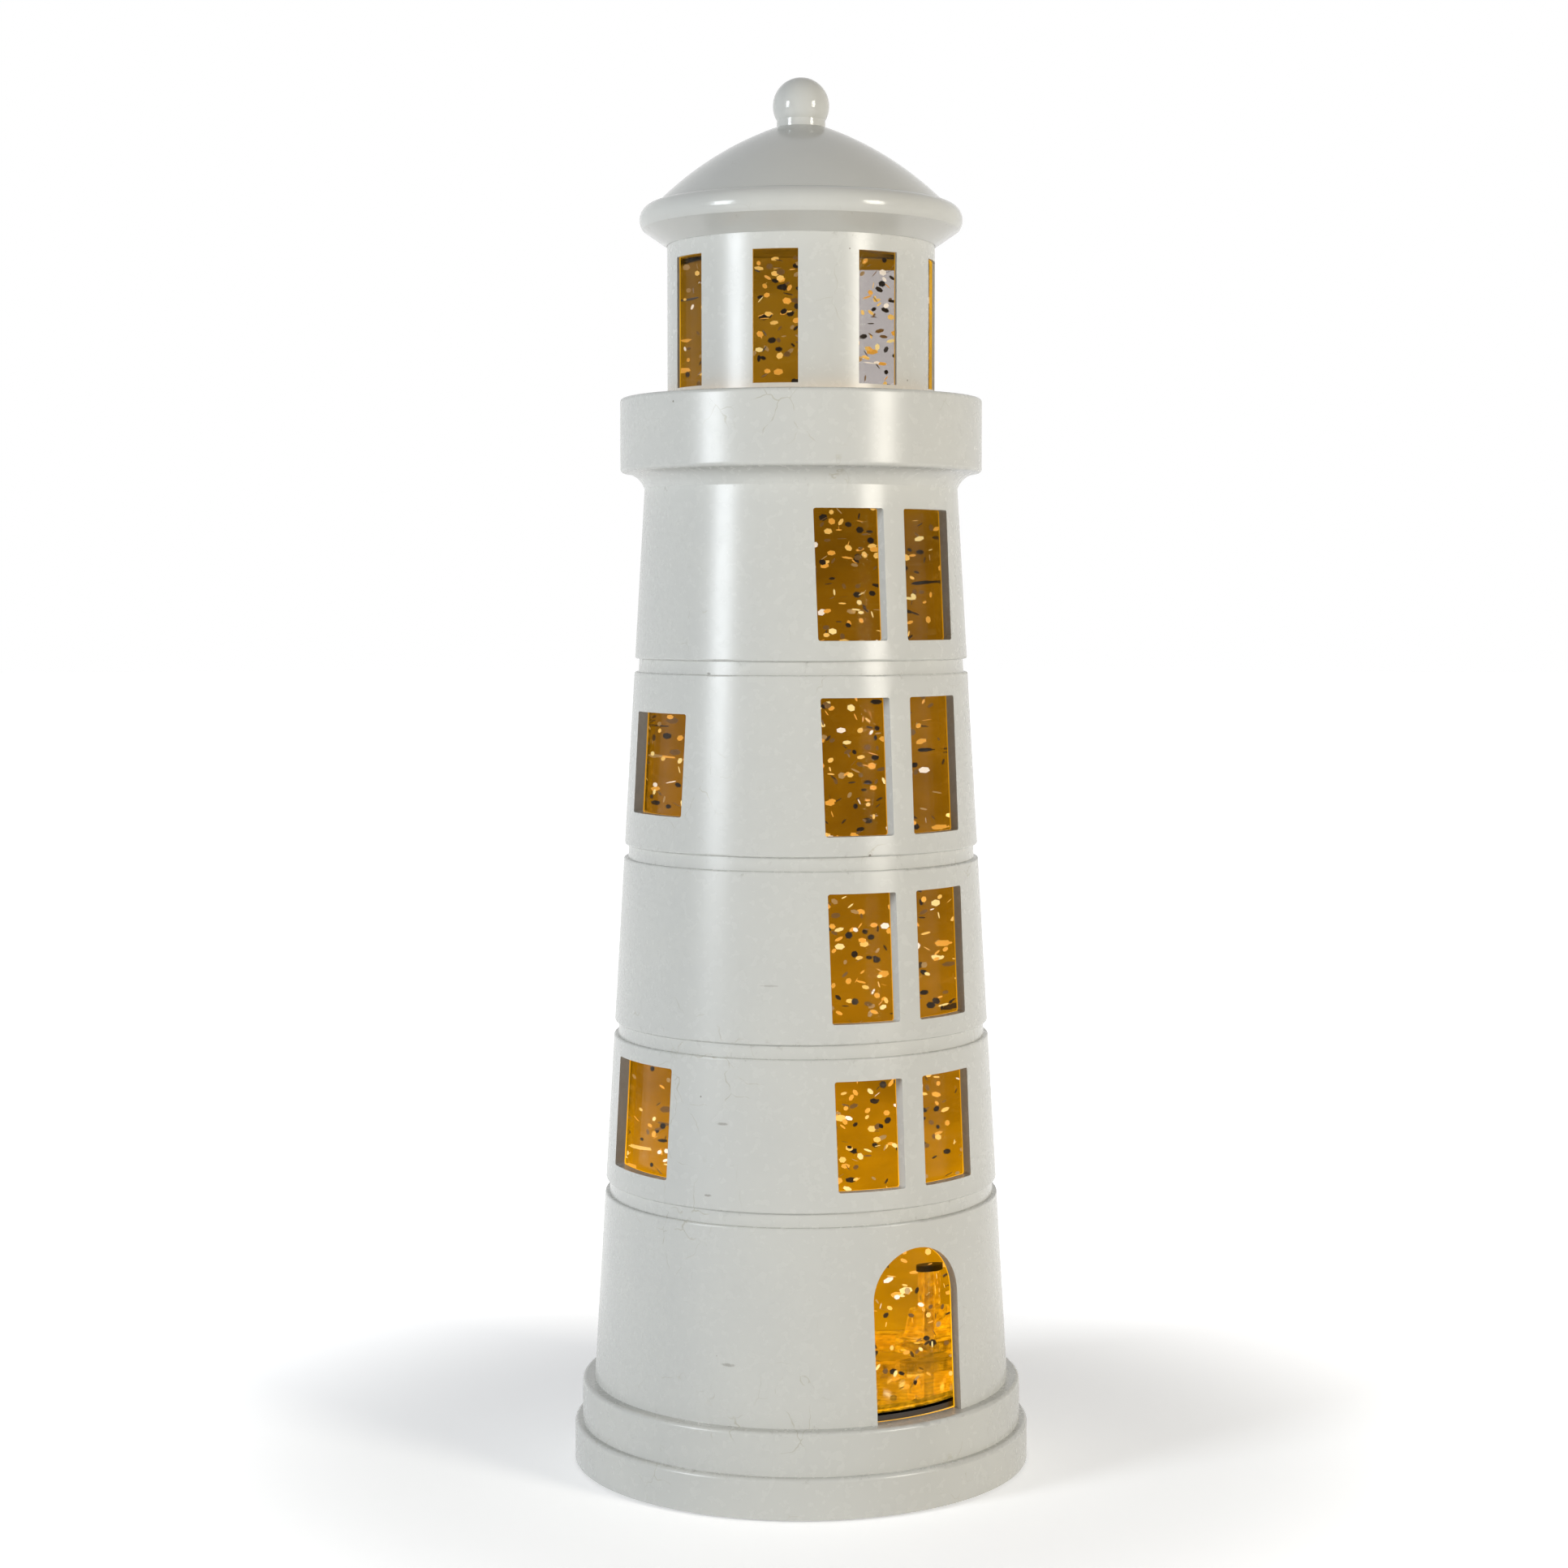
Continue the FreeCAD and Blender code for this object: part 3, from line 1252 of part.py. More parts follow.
def deck_plate():
    body = new_body("deck_shell")
    rim = skirt_bore - s.deck_rim_gap
    inner = deck_radius - s.deck_wall
    revolve(body, [
        (0, deck_under),
        (inner, deck_under),
        (inner, spigot_top),
        (rim, spigot_top),
        (rim, shoulder_under),
        (deck_radius, shoulder_under),
        (deck_radius, deck_top),
        (0, deck_top),
    ])
    tools = []
    for index, angle in enumerate(light_angles()):
        hole = centred_block(f"light_hole_{index}", s.light_circle, 0, s.light_window, s.light_window,
                             deck_under - OVERCUT, deck_top + OVERCUT)
        tools.append(turn(group(f"light_hole_turned_{index}", [hole]), angle))
    for index, corner in enumerate(SCREW_CORNERS):
        tools.append(cylinder(f"deck_notch_{index}", s.boss_radius + s.boss_clearance, s.deck_rim_thick + OVERCUT,
                              *corner_place(corner), spigot_top - OVERCUT))
    beyond = s.box_wall + s.deck_gap
    tools.append(block("deck_box_relief", (box_west - beyond, box_east + beyond),
                       (-box_end - beyond, box_end + beyond), (spigot_top - OVERCUT, deck_under)))
    return cut("deck_plate", body, tools)


def light_angles():
    """The angle of each light, spread evenly about the right-hand side."""
    count = int(s.light_count.value)
    return [s.light_step.value * (index - (count - 1) / 2) for index in range(count)]


def led_board():
    return arc_piece("led_board", s.light_circle + s.led_board_width / 2, s.led_board_width,
                     s.led_board_thick, deck_under - s.led_board_thick, 0, s.led_board_arc)


def leds():
    lamps = []
    for index, angle in enumerate(light_angles()):
        package = centred_block(f"led_package_{index}", s.light_circle, 0, s.led_width, s.led_length,
                                deck_under, deck_under + s.led_height)
        lens = cylinder(f"led_lens_{index}", s.led_lens_radius, s.led_lens_height, s.light_circle, 0,
                        deck_under + s.led_height)
        lamp = group(f"led_{index}", [fuse(f"led_solid_{index}", [package, lens])])
        lamps.append(turn(lamp, angle))
    return group("leds", lamps)


# ---------------------------------------------------------------------------
# Base pan, feet and screws
# ---------------------------------------------------------------------------

SCREW_CORNERS = [(1, 1), (-1, 1), (-1, -1), (1, -1)]


def corner_place(corner):
    """Where a base screw stands in plan."""
    reach = screw_circle * COS_45
    return corner[0] * reach, corner[1] * reach


board_reach = spigot_bore - s.board_wall_gap
board_east = s.board_x + s.board_length / 2
board_south = -root(board_reach * board_reach - board_east * board_east)
board_north = -(s.strap_post_offset + s.strap_post_radius + s.board_north_gap)
board_y = (board_south + board_north) / 2
board_width = board_north - board_south
board_low = pan_top + s.switch_floor_gap + s.switch_height
board_high = board_low + s.board_thick
lead_high = board_high + s.lead_gap + s.lead_radius
lead_low = motor_bottom + s.end_cap_thick / 2
lead_pitch = 2 * s.lead_radius + 3 * s.lead_gap
motor_lead_x = [s.impeller_x - s.motor_radius / 2 + index * lead_pitch for index in range(2)]
hinge_x = box_west + s.knuckle_radius + s.door_gap
hinge_z = pan_under + s.knuckle_radius


def board_posts():
    """Where the two posts of the control board stand in plan."""
    x_reach = s.board_length / 2 - s.board_post_inset
    y_reach = board_width / 2 - s.board_post_inset
    return [(s.board_x + side * x_reach, board_y + side * y_reach) for side in (-1, 1)]


def pan_shell():
    body = new_body("pan_shell")
    inner = s.plinth_radius - s.plinth_wall
    revolve(body, [
        (0, pan_under),
        (inner, pan_under),
        (inner, s.rim_lift),
        (s.plinth_radius, s.rim_lift),
        (s.plinth_radius, plinth_top),
        (spigot_radius, plinth_top),
        (spigot_radius, spigot_top),
        (spigot_bore, spigot_top),
        (spigot_bore, plinth_top - s.flange_thick),
        (inner, plinth_top - s.flange_thick),
        (inner, pan_top),
        (0, pan_top),
    ])
    round_edges(body, "plinth_edges", s.edge_round, lambda edge: is_ring(edge, s.plinth_radius, plinth_top))
    return body


def pan_additions():
    """Everything that stands on the pan's floor."""
    box = block("box_outside", (box_west - s.box_wall, box_east + s.box_wall),
                (-box_end - s.box_wall, box_end + s.box_wall), (pan_top, box_top))
    box_room = block("box_inside", (box_west, box_east), (-box_end, box_end), (pan_under, box_ceiling))
    items = [cut("battery_box_walls", box, [box_room])]
    items.append(ring("motor_cup", s.motor_radius + s.cup_gap + s.cup_wall, s.motor_radius + s.cup_gap,
                      s.cup_height, s.impeller_x, 0, pan_top))
    for index, corner in enumerate(SCREW_CORNERS):
        items.append(cylinder(f"screw_post_{index}", s.post_radius, plinth_top - pan_under,
                              *corner_place(corner), pan_under))
    for side in (-1, 1):
        items.append(cylinder(f"strap_post_{side + 1}", s.strap_post_radius, motor_top - pan_top,
                              s.impeller_x, side * s.strap_post_offset, pan_top))
    for index, (x, y) in enumerate(board_posts()):
        items.append(cylinder(f"board_post_{index}", s.board_post_radius, board_low - pan_top, x, y, pan_top))
    return items


def pan_cutters():
    """Everything that is taken out of the pan."""
    tools = [block("door_opening", (box_west, box_east), (-box_end, box_end), (pan_under - OVERCUT, pan_top + OVERCUT))]
    for index, corner in enumerate(SCREW_CORNERS):
        x, y = corner_place(corner)
        seat = plinth_top - s.screw_seat_thick
        tools.append(cylinder(f"screw_well_{index}", s.screw_head_radius + s.screw_clearance,
                              seat - pan_under + OVERCUT, x, y, pan_under - OVERCUT))
        tools.append(cylinder(f"screw_hole_{index}", s.screw_shank_radius + s.screw_clearance,
                              s.screw_seat_thick + 2 * OVERCUT, x, y, seat - OVERCUT))
        tools.append(cylinder(f"spigot_notch_{index}", s.boss_radius + s.boss_clearance,
                              spigot_top - plinth_top + OVERCUT, x, y, plinth_top))
    for side in (-1, 1):
        tools.append(cylinder(f"strap_pilot_{side + 1}", s.small_screw_shank_radius + s.small_screw_gap,
                              s.small_screw_length + OVERCUT, s.impeller_x, side * s.strap_post_offset,
                              motor_top - s.small_screw_length))
    for index, (x, y) in enumerate(board_posts()):
        depth = s.small_screw_length - s.board_thick + s.screw_clearance
        tools.append(cylinder(f"board_pilot_{index}", s.small_screw_shank_radius + s.small_screw_gap,
                              depth + OVERCUT, x, y, board_low - depth))
    tools.append(centred_block("knob_slot", s.board_x, board_y,
                               s.knob_length + 2 * (s.switch_travel + s.knob_gap),
                               s.knob_width + 2 * s.knob_gap, pan_under - OVERCUT, pan_top + OVERCUT))
    cup_outside = s.motor_radius + s.cup_gap + s.cup_wall
    tools.append(block("cup_gap_for_leads", (motor_lead_x[0] - lead_pitch / 2, motor_lead_x[1] + lead_pitch / 2),
                       (-cup_outside - OVERCUT, s.motor_radius / -2), (pan_top, pan_top + s.cup_height + OVERCUT)))
    tools.append(cylinder("thumb_notch", s.thumb_radius, s.thumb_depth + OVERCUT, box_east, 0, pan_under - OVERCUT))
    return tools


def hinge_lugs():
    """Two lugs on the pan that hold the ends of the hinge pin."""
    lugs = []
    for side in (-1, 1):
        near = side * (s.knuckle_spread + s.knuckle_length / 2 + s.lug_gap)
        far = near + side * s.lug_length
        low, high = (near, far) if side > 0 else (far, near)
        lug = block(f"lug_{side + 1}", (box_west - s.box_wall / 2, hinge_x + s.knuckle_radius), (low, high),
                    (pan_under, hinge_z + s.knuckle_radius))
        lugs.append(lug)
    return lugs


def hinge_rod(name, radius, low, high):
    """A rod along the hinge axis between two places along Y."""
    rod = doc.addObject("Part::Cylinder", name)
    bind(rod, "Radius", radius)
    bind(rod, "Height", high - low)
    turn(rod, -90, (1, 0, 0))
    return place(rod, hinge_x, low, hinge_z)


def base_pan():
    shell = cut("pan_drilled", fuse("pan_solid", [pan_shell()] + pan_additions()), pan_cutters())
    whole = fuse("pan_with_lugs", [shell] + hinge_lugs())
    pin_end = s.knuckle_spread + s.knuckle_length / 2 + s.lug_gap + s.lug_length
    bore = hinge_rod("lug_bore", s.hinge_pin_radius + s.press_gap, -pin_end - OVERCUT, pin_end + OVERCUT)
    return cut("base_pan", whole, [bore])


def hinge_pin():
    pin_end = s.knuckle_spread + s.knuckle_length / 2 + s.lug_gap + s.lug_length
    return hinge_rod("hinge_pin", s.hinge_pin_radius, -pin_end, pin_end)


def battery_door():
    gap = s.door_gap
    lug_corner = s.knuckle_radius / COS_45
    plate = block("door_plate", (hinge_x, box_east - gap), (-box_end + gap, box_end - gap), (pan_under, door_inside))
    solids = [plate]
    tools = []
    for side in (-1, 1):
        middle = side * s.knuckle_spread
        solids.append(hinge_rod(f"knuckle_{side + 1}", s.knuckle_radius, middle - s.knuckle_length / 2,
                                middle + s.knuckle_length / 2))
        tools.append(hinge_rod(f"knuckle_bore_{side + 1}", s.hinge_pin_radius + s.hinge_fit,
                               middle - s.knuckle_length / 2 - OVERCUT, middle + s.knuckle_length / 2 + OVERCUT))
        lug_near = side * (s.knuckle_spread + s.knuckle_length / 2)
        lug_far = side * (box_end + OVERCUT)
        low, high = (lug_near, lug_far) if side > 0 else (lug_far, lug_near)
        tools.append(block(f"lug_relief_{side + 1}", (hinge_x - OVERCUT, hinge_x + lug_corner + gap),
                           (low, high), (pan_under - OVERCUT, door_inside + OVERCUT)))
        slot_near = side * s.latch_width / 2
        slot_far = slot_near + side * s.tongue_slot_width
        low, high = (slot_near, slot_far) if side > 0 else (slot_far, slot_near)
        tools.append(block(f"latch_slot_{side + 1}", (box_east - gap - s.latch_length, box_east + OVERCUT),
                           (low, high), (pan_under - OVERCUT, door_inside + OVERCUT)))
    middle_low = -s.knuckle_spread + s.knuckle_length / 2
    tools.append(block("middle_relief", (hinge_x - OVERCUT, hinge_x + s.hinge_pin_radius + gap),
                       (middle_low, -middle_low), (pan_under - OVERCUT, door_inside + OVERCUT)))
    return cut("battery_door", fuse("door_solid", solids), tools)


def rubber_feet():
    spots = [(1, 0), (0, 1), (-1, 0), (0, -1)]
    return group("rubber_feet", [
        cylinder(f"foot_{index}", s.foot_radius, pan_under, x * foot_circle, y * foot_circle, 0)
        for index, (x, y) in enumerate(spots)
    ])


def base_screws():
    seat = plinth_top - s.screw_seat_thick
    return group("base_screws", [
        screw(f"base_screw_{index}", s.screw_head_radius, s.screw_head_height, s.screw_shank_radius,
              s.screw_seat_thick + s.screw_bite, *corner_place(corner), seat, up=True)
        for index, corner in enumerate(SCREW_CORNERS)
    ])


# ---------------------------------------------------------------------------
# Battery cells and contacts
# ---------------------------------------------------------------------------


def cell_rows():
    """Middle of each cell along X, and the end its button points to, turned about in series."""
    count = int(s.cell_count.value)
    return [
        (s.box_middle_x + (index - (count - 1) / 2) * cell_pitch, 1 if index % 2 else -1)
        for index in range(count)
    ]


def along_y(name, radius, x, low, high, level):
    """A rod along Y."""
    rod = doc.addObject("Part::Cylinder", name)
    bind(rod, "Radius", radius)
    bind(rod, "Height", high - low)
    turn(rod, -90, (1, 0, 0))
    return place(rod, x, low, level)


def battery_cells():
    cells = []
    for index, (x, side) in enumerate(cell_rows()):
        tip = side * (box_end - s.contact_thick)
        shoulder = tip - side * s.cell_button_length
        tail = tip - side * s.cell_length
        can_ends = (tail, shoulder) if side > 0 else (shoulder, tail)
        button_ends = (shoulder, tip) if side > 0 else (tip, shoulder)
        can = along_y(f"cell_can_{index}", s.cell_radius, x, *can_ends, cell_axis)
        button = along_y(f"cell_button_{index}", s.cell_button_radius, x, *button_ends, cell_axis)
        cells.append(fuse(f"cell_{index}", [can, button]))
    return group("battery_cells", cells)


def contact_plates():
    """A plate at both ends of each cell: one meets the button and one carries the spring."""
    plates = []
    for index, (x, side) in enumerate(cell_rows()):
        for end in (-1, 1):
            outer = end * box_end
            inner = outer - end * s.contact_thick
            y_range = (inner, outer) if end > 0 else (outer, inner)
            half = s.contact_width / 2
            plates.append(block(f"contact_{index}_{end + 1}", (x - half, x + half), y_range,
                                (cell_axis - s.contact_height / 2, cell_axis + s.contact_height / 2)))
    return group("contact_plates", plates)


def contact_springs():
    """Bowed strips of spring steel, pressed between a plate and the flat end of each cell."""
    leaves = []
    for index, (x, side) in enumerate(cell_rows()):
        foot = -side * (box_end - s.contact_thick)
        crown = foot + side * (s.spring_room - s.leaf_gap)
        low, high = cell_axis - s.leaf_reach, cell_axis + s.leaf_reach
        body = new_body(f"spring_leaf_{index}")
        sketch = new_sketch(body, f"spring_bow_{index}", "YZ_Plane", x - s.leaf_width / 2)
        outline(sketch, [
            (foot, low),
            (crown, cell_axis, "via"),
            (foot, high),
            (foot, high - s.leaf_thick),
            (crown - side * s.leaf_thick, cell_axis, "via"),
            (foot, low + s.leaf_thick),
        ])
        extrude(body, "Pad", f"spring_strip_{index}", sketch, s.leaf_width)
        leaves.append(body)
    return group("contact_springs", leaves)


# ---------------------------------------------------------------------------
# Control board, switch and leads
# ---------------------------------------------------------------------------


def control_board():
    board = centred_block("board_sheet", s.board_x, board_y, s.board_length, board_width, board_low, board_high)
    holes = [
        cylinder(f"board_hole_{index}", s.small_screw_shank_radius + s.screw_clearance, 2 * s.board_thick,
                 x, y, board_low - s.board_thick / 2)
        for index, (x, y) in enumerate(board_posts())
    ]
    return cut("control_board", board, holes)


def board_screws():
    return group("board_screws", [
        small_screw(f"board_screw_{index}", x, y, board_high) for index, (x, y) in enumerate(board_posts())
    ])


def board_chips():
    """The timer chip and its resistors, soldered on top of the board."""
    chip = centred_block("timer_chip", s.board_x, board_y, s.chip_length, s.chip_width,
                         board_high, board_high + s.chip_height)
    parts = [chip]
    for side in (-1, 1):
        parts.append(centred_block(f"resistor_{side + 1}", s.board_x + side * s.chip_length,
                                   board_y - side * s.chip_width, s.resistor_length, s.resistor_width,
                                   board_high, board_high + s.resistor_height))
    return group("board_chips", parts)


def switch_body():
    low = board_low - s.switch_height
    case = centred_block("switch_case", s.board_x, board_y, s.switch_length, s.switch_width, low, board_low)
    slot = centred_block("switch_slot", s.board_x, board_y,
                         s.knob_stem + 2 * (s.switch_travel + s.knob_gap), s.knob_stem_width + 2 * s.knob_gap,
                         low - s.knob_gap, low + s.knob_stem_height + s.knob_gap)
    return cut("switch_body", case, [slot])


def switch_knob():
    low = board_low - s.switch_height
    top = low - s.knob_gap
    cap = centred_block("knob_cap", s.board_x, board_y, s.knob_length, s.knob_width, pan_under - s.knob_proud, top)
    stem = centred_block("knob_stem_block", s.board_x, board_y, s.knob_stem, s.knob_stem_width,
                         top, low + s.knob_stem_height)
    grips = [
        centred_block(f"knob_grip_{side + 1}", s.board_x + side * s.knob_length / 4, board_y, s.knob_gap,
                      2 * s.knob_width, pan_under - 2 * s.knob_proud, pan_under - s.knob_proud / 2)
        for side in (-1, 1)
    ]
    return cut("switch_knob", fuse("knob_solid", [cap, stem]), grips)


def lead(name, route):
    """An insulated lead: straight runs joined by arcs tangent to both."""
    points = [FreeCAD.Vector(*[as_size(value).value for value in point]) for point in route]
    edges = []
    start = points[0]
    for before, corner, after in zip(points, points[1:], points[2:]):
        back, ahead = (before - corner), (after - corner)
        shorter = min(back.Length, ahead.Length)
        back.normalize()
        ahead.normalize()
        trim = BEND_SHARE * shorter
        bend_start, bend_end = corner + back * trim, corner + ahead * trim
        half_angle = back.getAngle(ahead) / 2
        middle_way = back + ahead
        middle_way.normalize()
        radius = trim * math.tan(half_angle)
        bend_middle = corner + middle_way * (radius / math.sin(half_angle) - radius)
        edges.append(Part.LineSegment(start, bend_start).toShape())
        edges.append(Part.Arc(bend_start, bend_middle, bend_end).toShape())
        start = bend_end
    edges.append(Part.LineSegment(start, points[-1]).toShape())
    path = Part.Wire(edges)
    section = Part.Wire(Part.makeCircle(s.lead_radius.value, points[0], points[1] - points[0]))
    solid = path.makePipeShell([section], True, False)
    feature = doc.addObject("Part::Feature", name)
    feature.Shape = solid
    return feature


def battery_leads():
    """From the two ends of the series string, round the compartment, to the control board."""
    wall = box_end + s.box_wall + s.lead_gap
    stand_off = wall + s.lead_swing
    cells = cell_rows()
    plus_x, minus_x = cells[0][0], cells[-1][0]
    board_west = s.board_x - s.board_length / 4
    board_edge = board_y + board_width / 2
    cup_west = s.impeller_x - s.motor_radius - s.cup_gap - s.cup_wall
    aisle = (box_east + s.box_wall + cup_west) / 2
    plus = lead("battery_lead_plus", [
        (plus_x, -wall, lead_high),
        (plus_x, -stand_off, lead_high),
        (board_west, -stand_off, lead_high),
    ])
    minus = lead("battery_lead_minus", [
        (minus_x, wall, lead_high),
        (minus_x, stand_off, lead_high),
        (aisle, stand_off, lead_high),
        (aisle, board_edge - s.lead_swing, lead_high),
    ])
    return group("battery_leads", [plus, minus])


def motor_leads():
    """From the motor's side, through the gap in its cup, up and over the board's edge."""
    board_edge = board_y + board_width / 2
    rise = board_edge + 3 * s.lead_radius
    leads = []
    for index, x in enumerate(motor_lead_x):
        off_axis = s.impeller_x.value - x.value - s.lead_radius.value
        side = math.sqrt(s.motor_radius.value**2 - off_axis**2)
        leads.append(lead(f"motor_lead_{index}", [
            (x, -side - s.lead_gap, lead_low),
            (x, rise, lead_low),
            (x, rise, lead_high),
            (x, board_edge - s.lead_swing, lead_high),
        ]))
    return group("motor_leads", leads)


def led_leads():
    """From the light board down to the control board."""
    top = deck_under - s.led_board_thick - s.lead_gap
    leads = []
    for index in range(2):
        x = s.board_x - lead_pitch + index * lead_pitch
        start = -math.sqrt(s.light_circle.value**2 - x.value**2)
        leads.append(lead(f"led_lead_{index}", [
            (x, start, top),
            (x, start, lead_high),
            (x, start + s.lead_swing, lead_high),
        ]))
    return group("led_leads", leads)


pieces = [
    tower_shell(),
    gallery_ring(),
    lantern_room(),
    roof_cap(),
    finial(),
    finial_screw(),
    liquid_vessel(),
    vessel_floor(),
    vessel_gasket(),
    filler_plug(),
    glitter_fluid(),
    impeller(),
    impeller_magnet(),
    impeller_spindle(),
    spindle_cap(),
    motor_can(),
    motor_end_cap(),
    motor_bushes(),
    motor_shaft(),
    stator_magnets(),
    armature_core(),
    armature_windings(),
    commutator(),
    motor_brushes(),
    motor_pad(),
    motor_strap(),
    strap_screws(),
    magnet_carrier(),
    drive_magnets(),
    deck_plate(),
    led_board(),
    leds(),
    base_pan(),
    hinge_pin(),
    battery_door(),
    rubber_feet(),
    base_screws(),
    battery_cells(),
    contact_plates(),
    contact_springs(),
    control_board(),
    board_screws(),
    board_chips(),
    switch_body(),
    switch_knob(),
    battery_leads(),
    motor_leads(),
    led_leads(),
]

doc.recompute()
for item in doc.Objects:
    if "Invalid" in item.State or "Error" in item.State:
        raise RuntimeError(f"{item.Label} did not build: {item.State}")
for piece in pieces:
    if piece.Shape.isNull() or not piece.Shape.isValid():
        raise RuntimeError(f"{piece.Label} has no valid shape")
    print(f"{piece.Label}: {len(piece.Shape.Solids)} solids, {piece.Shape.Volume:.1f} mm3")

os.makedirs("parts", exist_ok=True)
for piece in pieces:
    piece.Shape.exportStep(f"parts/{piece.Label}.step")
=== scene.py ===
import math
import random

import bpy
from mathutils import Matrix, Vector


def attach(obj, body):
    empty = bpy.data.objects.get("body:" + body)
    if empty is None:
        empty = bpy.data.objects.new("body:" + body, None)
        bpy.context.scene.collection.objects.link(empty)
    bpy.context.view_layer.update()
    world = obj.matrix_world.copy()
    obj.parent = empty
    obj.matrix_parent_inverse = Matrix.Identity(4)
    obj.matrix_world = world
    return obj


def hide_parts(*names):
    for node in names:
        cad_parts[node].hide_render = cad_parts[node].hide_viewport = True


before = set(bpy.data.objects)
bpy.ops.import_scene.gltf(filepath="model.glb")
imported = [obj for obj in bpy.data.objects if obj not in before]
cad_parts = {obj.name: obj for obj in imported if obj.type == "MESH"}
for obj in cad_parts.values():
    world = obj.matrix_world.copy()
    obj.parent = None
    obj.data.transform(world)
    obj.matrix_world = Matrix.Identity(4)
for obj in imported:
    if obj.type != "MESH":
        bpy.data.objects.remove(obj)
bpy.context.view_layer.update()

# ---------------------------------------------------------------------------
# Sizes of the lighthouse that the materials and the new pieces follow, in millimetres
# ---------------------------------------------------------------------------

MM = 0.001
STEP_TOP = 21.4
TOWER_TOP = 251.2
TOWER_FOOT_RADIUS = 53.8
TOWER_TOP_RADIUS = 40.15
TOWER_WALL = 3.0
GROOVE_LEVELS = (71.9, 112.9, 158.6, 206.3)
GROOVE_HALF = 1.7
PLINTH_TOP = 10.5
LANTERN_BORE = 33.17
VESSEL_GAP = 0.8
VESSEL_WALL = 2.0
VESSEL_SHOULDER = 262.0
VESSEL_NECK_LOW = 266.5
VESSEL_NECK_HIGH = 308.2
VESSEL_NECK_RADIUS = 32.87
VESSEL_DOME_ROUND = 5.3
VESSEL_FLOOR_TOP = 24.6
IMPELLER_X = 27.0
IMPELLER_REACH = 13.4
IMPELLER_CLEAR_LEVEL = 51.0
LIGHT_CIRCLE = 43.6
GALLERY_FLOOR = 274.2
ROOF_LINE = 312.8
EAVE_LEVEL = 317.0
ROOF_CROWN = 342.9
ROOF_TOP = 355.6


def tower_outside(level):
    """Outside radius of the tower at a height."""
    share = (level - STEP_TOP) / (TOWER_TOP - STEP_TOP)
    return TOWER_FOOT_RADIUS + (TOWER_TOP_RADIUS - TOWER_FOOT_RADIUS) * share


def vessel_inside(level):
    """Inside radius of the vessel at a height."""
    neck = VESSEL_NECK_RADIUS - VESSEL_WALL
    if level <= VESSEL_SHOULDER:
        return tower_outside(level) - TOWER_WALL - VESSEL_GAP - VESSEL_WALL
    if level < VESSEL_NECK_LOW:
        share = (level - VESSEL_SHOULDER) / (VESSEL_NECK_LOW - VESSEL_SHOULDER)
        return vessel_inside(VESSEL_SHOULDER) * (1 - share) + neck * share
    if level <= VESSEL_NECK_HIGH:
        return neck
    bend = VESSEL_DOME_ROUND - VESSEL_WALL
    rise = min(level - VESSEL_NECK_HIGH, bend)
    return neck - bend + math.sqrt(bend**2 - rise**2)


VESSEL_CEILING = VESSEL_NECK_HIGH + VESSEL_DOME_ROUND - VESSEL_WALL

# ---------------------------------------------------------------------------
# Camera: the photograph's own view, 1932 pixels square
# ---------------------------------------------------------------------------

FRAME_PIXELS = 1932
FOCAL_PIXELS = 3579
SENSOR_WIDTH = 36.0
AXIS_PIXEL_X = 987
CAMERA_DISTANCE = 749.5
CAMERA_HEIGHT = 223.9
CAMERA_AZIMUTH = math.radians(-34.2)
CAMERA_PITCH = math.radians(3.70)
AHEAD = Vector((-math.sin(CAMERA_AZIMUTH), math.cos(CAMERA_AZIMUTH), 0))
RIGHT = Vector((math.cos(CAMERA_AZIMUTH), math.sin(CAMERA_AZIMUTH), 0))
RAY_HALVINGS = 40


def add_camera():
    """The photograph's own view."""
    data = bpy.data.cameras.new("camera")
    data.sensor_width = SENSOR_WIDTH
    data.lens = SENSOR_WIDTH * FOCAL_PIXELS / FRAME_PIXELS
    data.shift_x = (FRAME_PIXELS / 2 - AXIS_PIXEL_X) / FRAME_PIXELS
    camera = bpy.data.objects.new("camera", data)
    camera.location = (-AHEAD * CAMERA_DISTANCE + Vector((0, 0, CAMERA_HEIGHT))) * MM
    camera.rotation_euler = (math.pi / 2 - CAMERA_PITCH, 0, CAMERA_AZIMUTH)
    bpy.context.scene.collection.objects.link(camera)
    bpy.context.scene.camera = camera


def tower_point(pixel_x, pixel_y):
    """The point of the tower's outside that the photograph shows at a pixel, in millimetres."""
    across = (pixel_x - AXIS_PIXEL_X) / FOCAL_PIXELS
    up = (FRAME_PIXELS / 2 - pixel_y) / FOCAL_PIXELS
    level_ahead = AHEAD * math.cos(CAMERA_PITCH) - Vector((0, 0, math.sin(CAMERA_PITCH)))
    level_up = AHEAD * math.sin(CAMERA_PITCH) + Vector((0, 0, math.cos(CAMERA_PITCH)))
    ray = level_ahead + RIGHT * across + level_up * up
    eye = -AHEAD * CAMERA_DISTANCE + Vector((0, 0, CAMERA_HEIGHT))
    near, far = CAMERA_DISTANCE - 2 * TOWER_FOOT_RADIUS, CAMERA_DISTANCE
    for _ in range(RAY_HALVINGS):
        middle = (near + far) / 2
        point = eye + ray * middle
        if math.hypot(point.x, point.y) > tower_outside(point.z):
            near = middle
        else:
            far = middle
    return eye + ray * near


# ---------------------------------------------------------------------------
# Materials
# ---------------------------------------------------------------------------


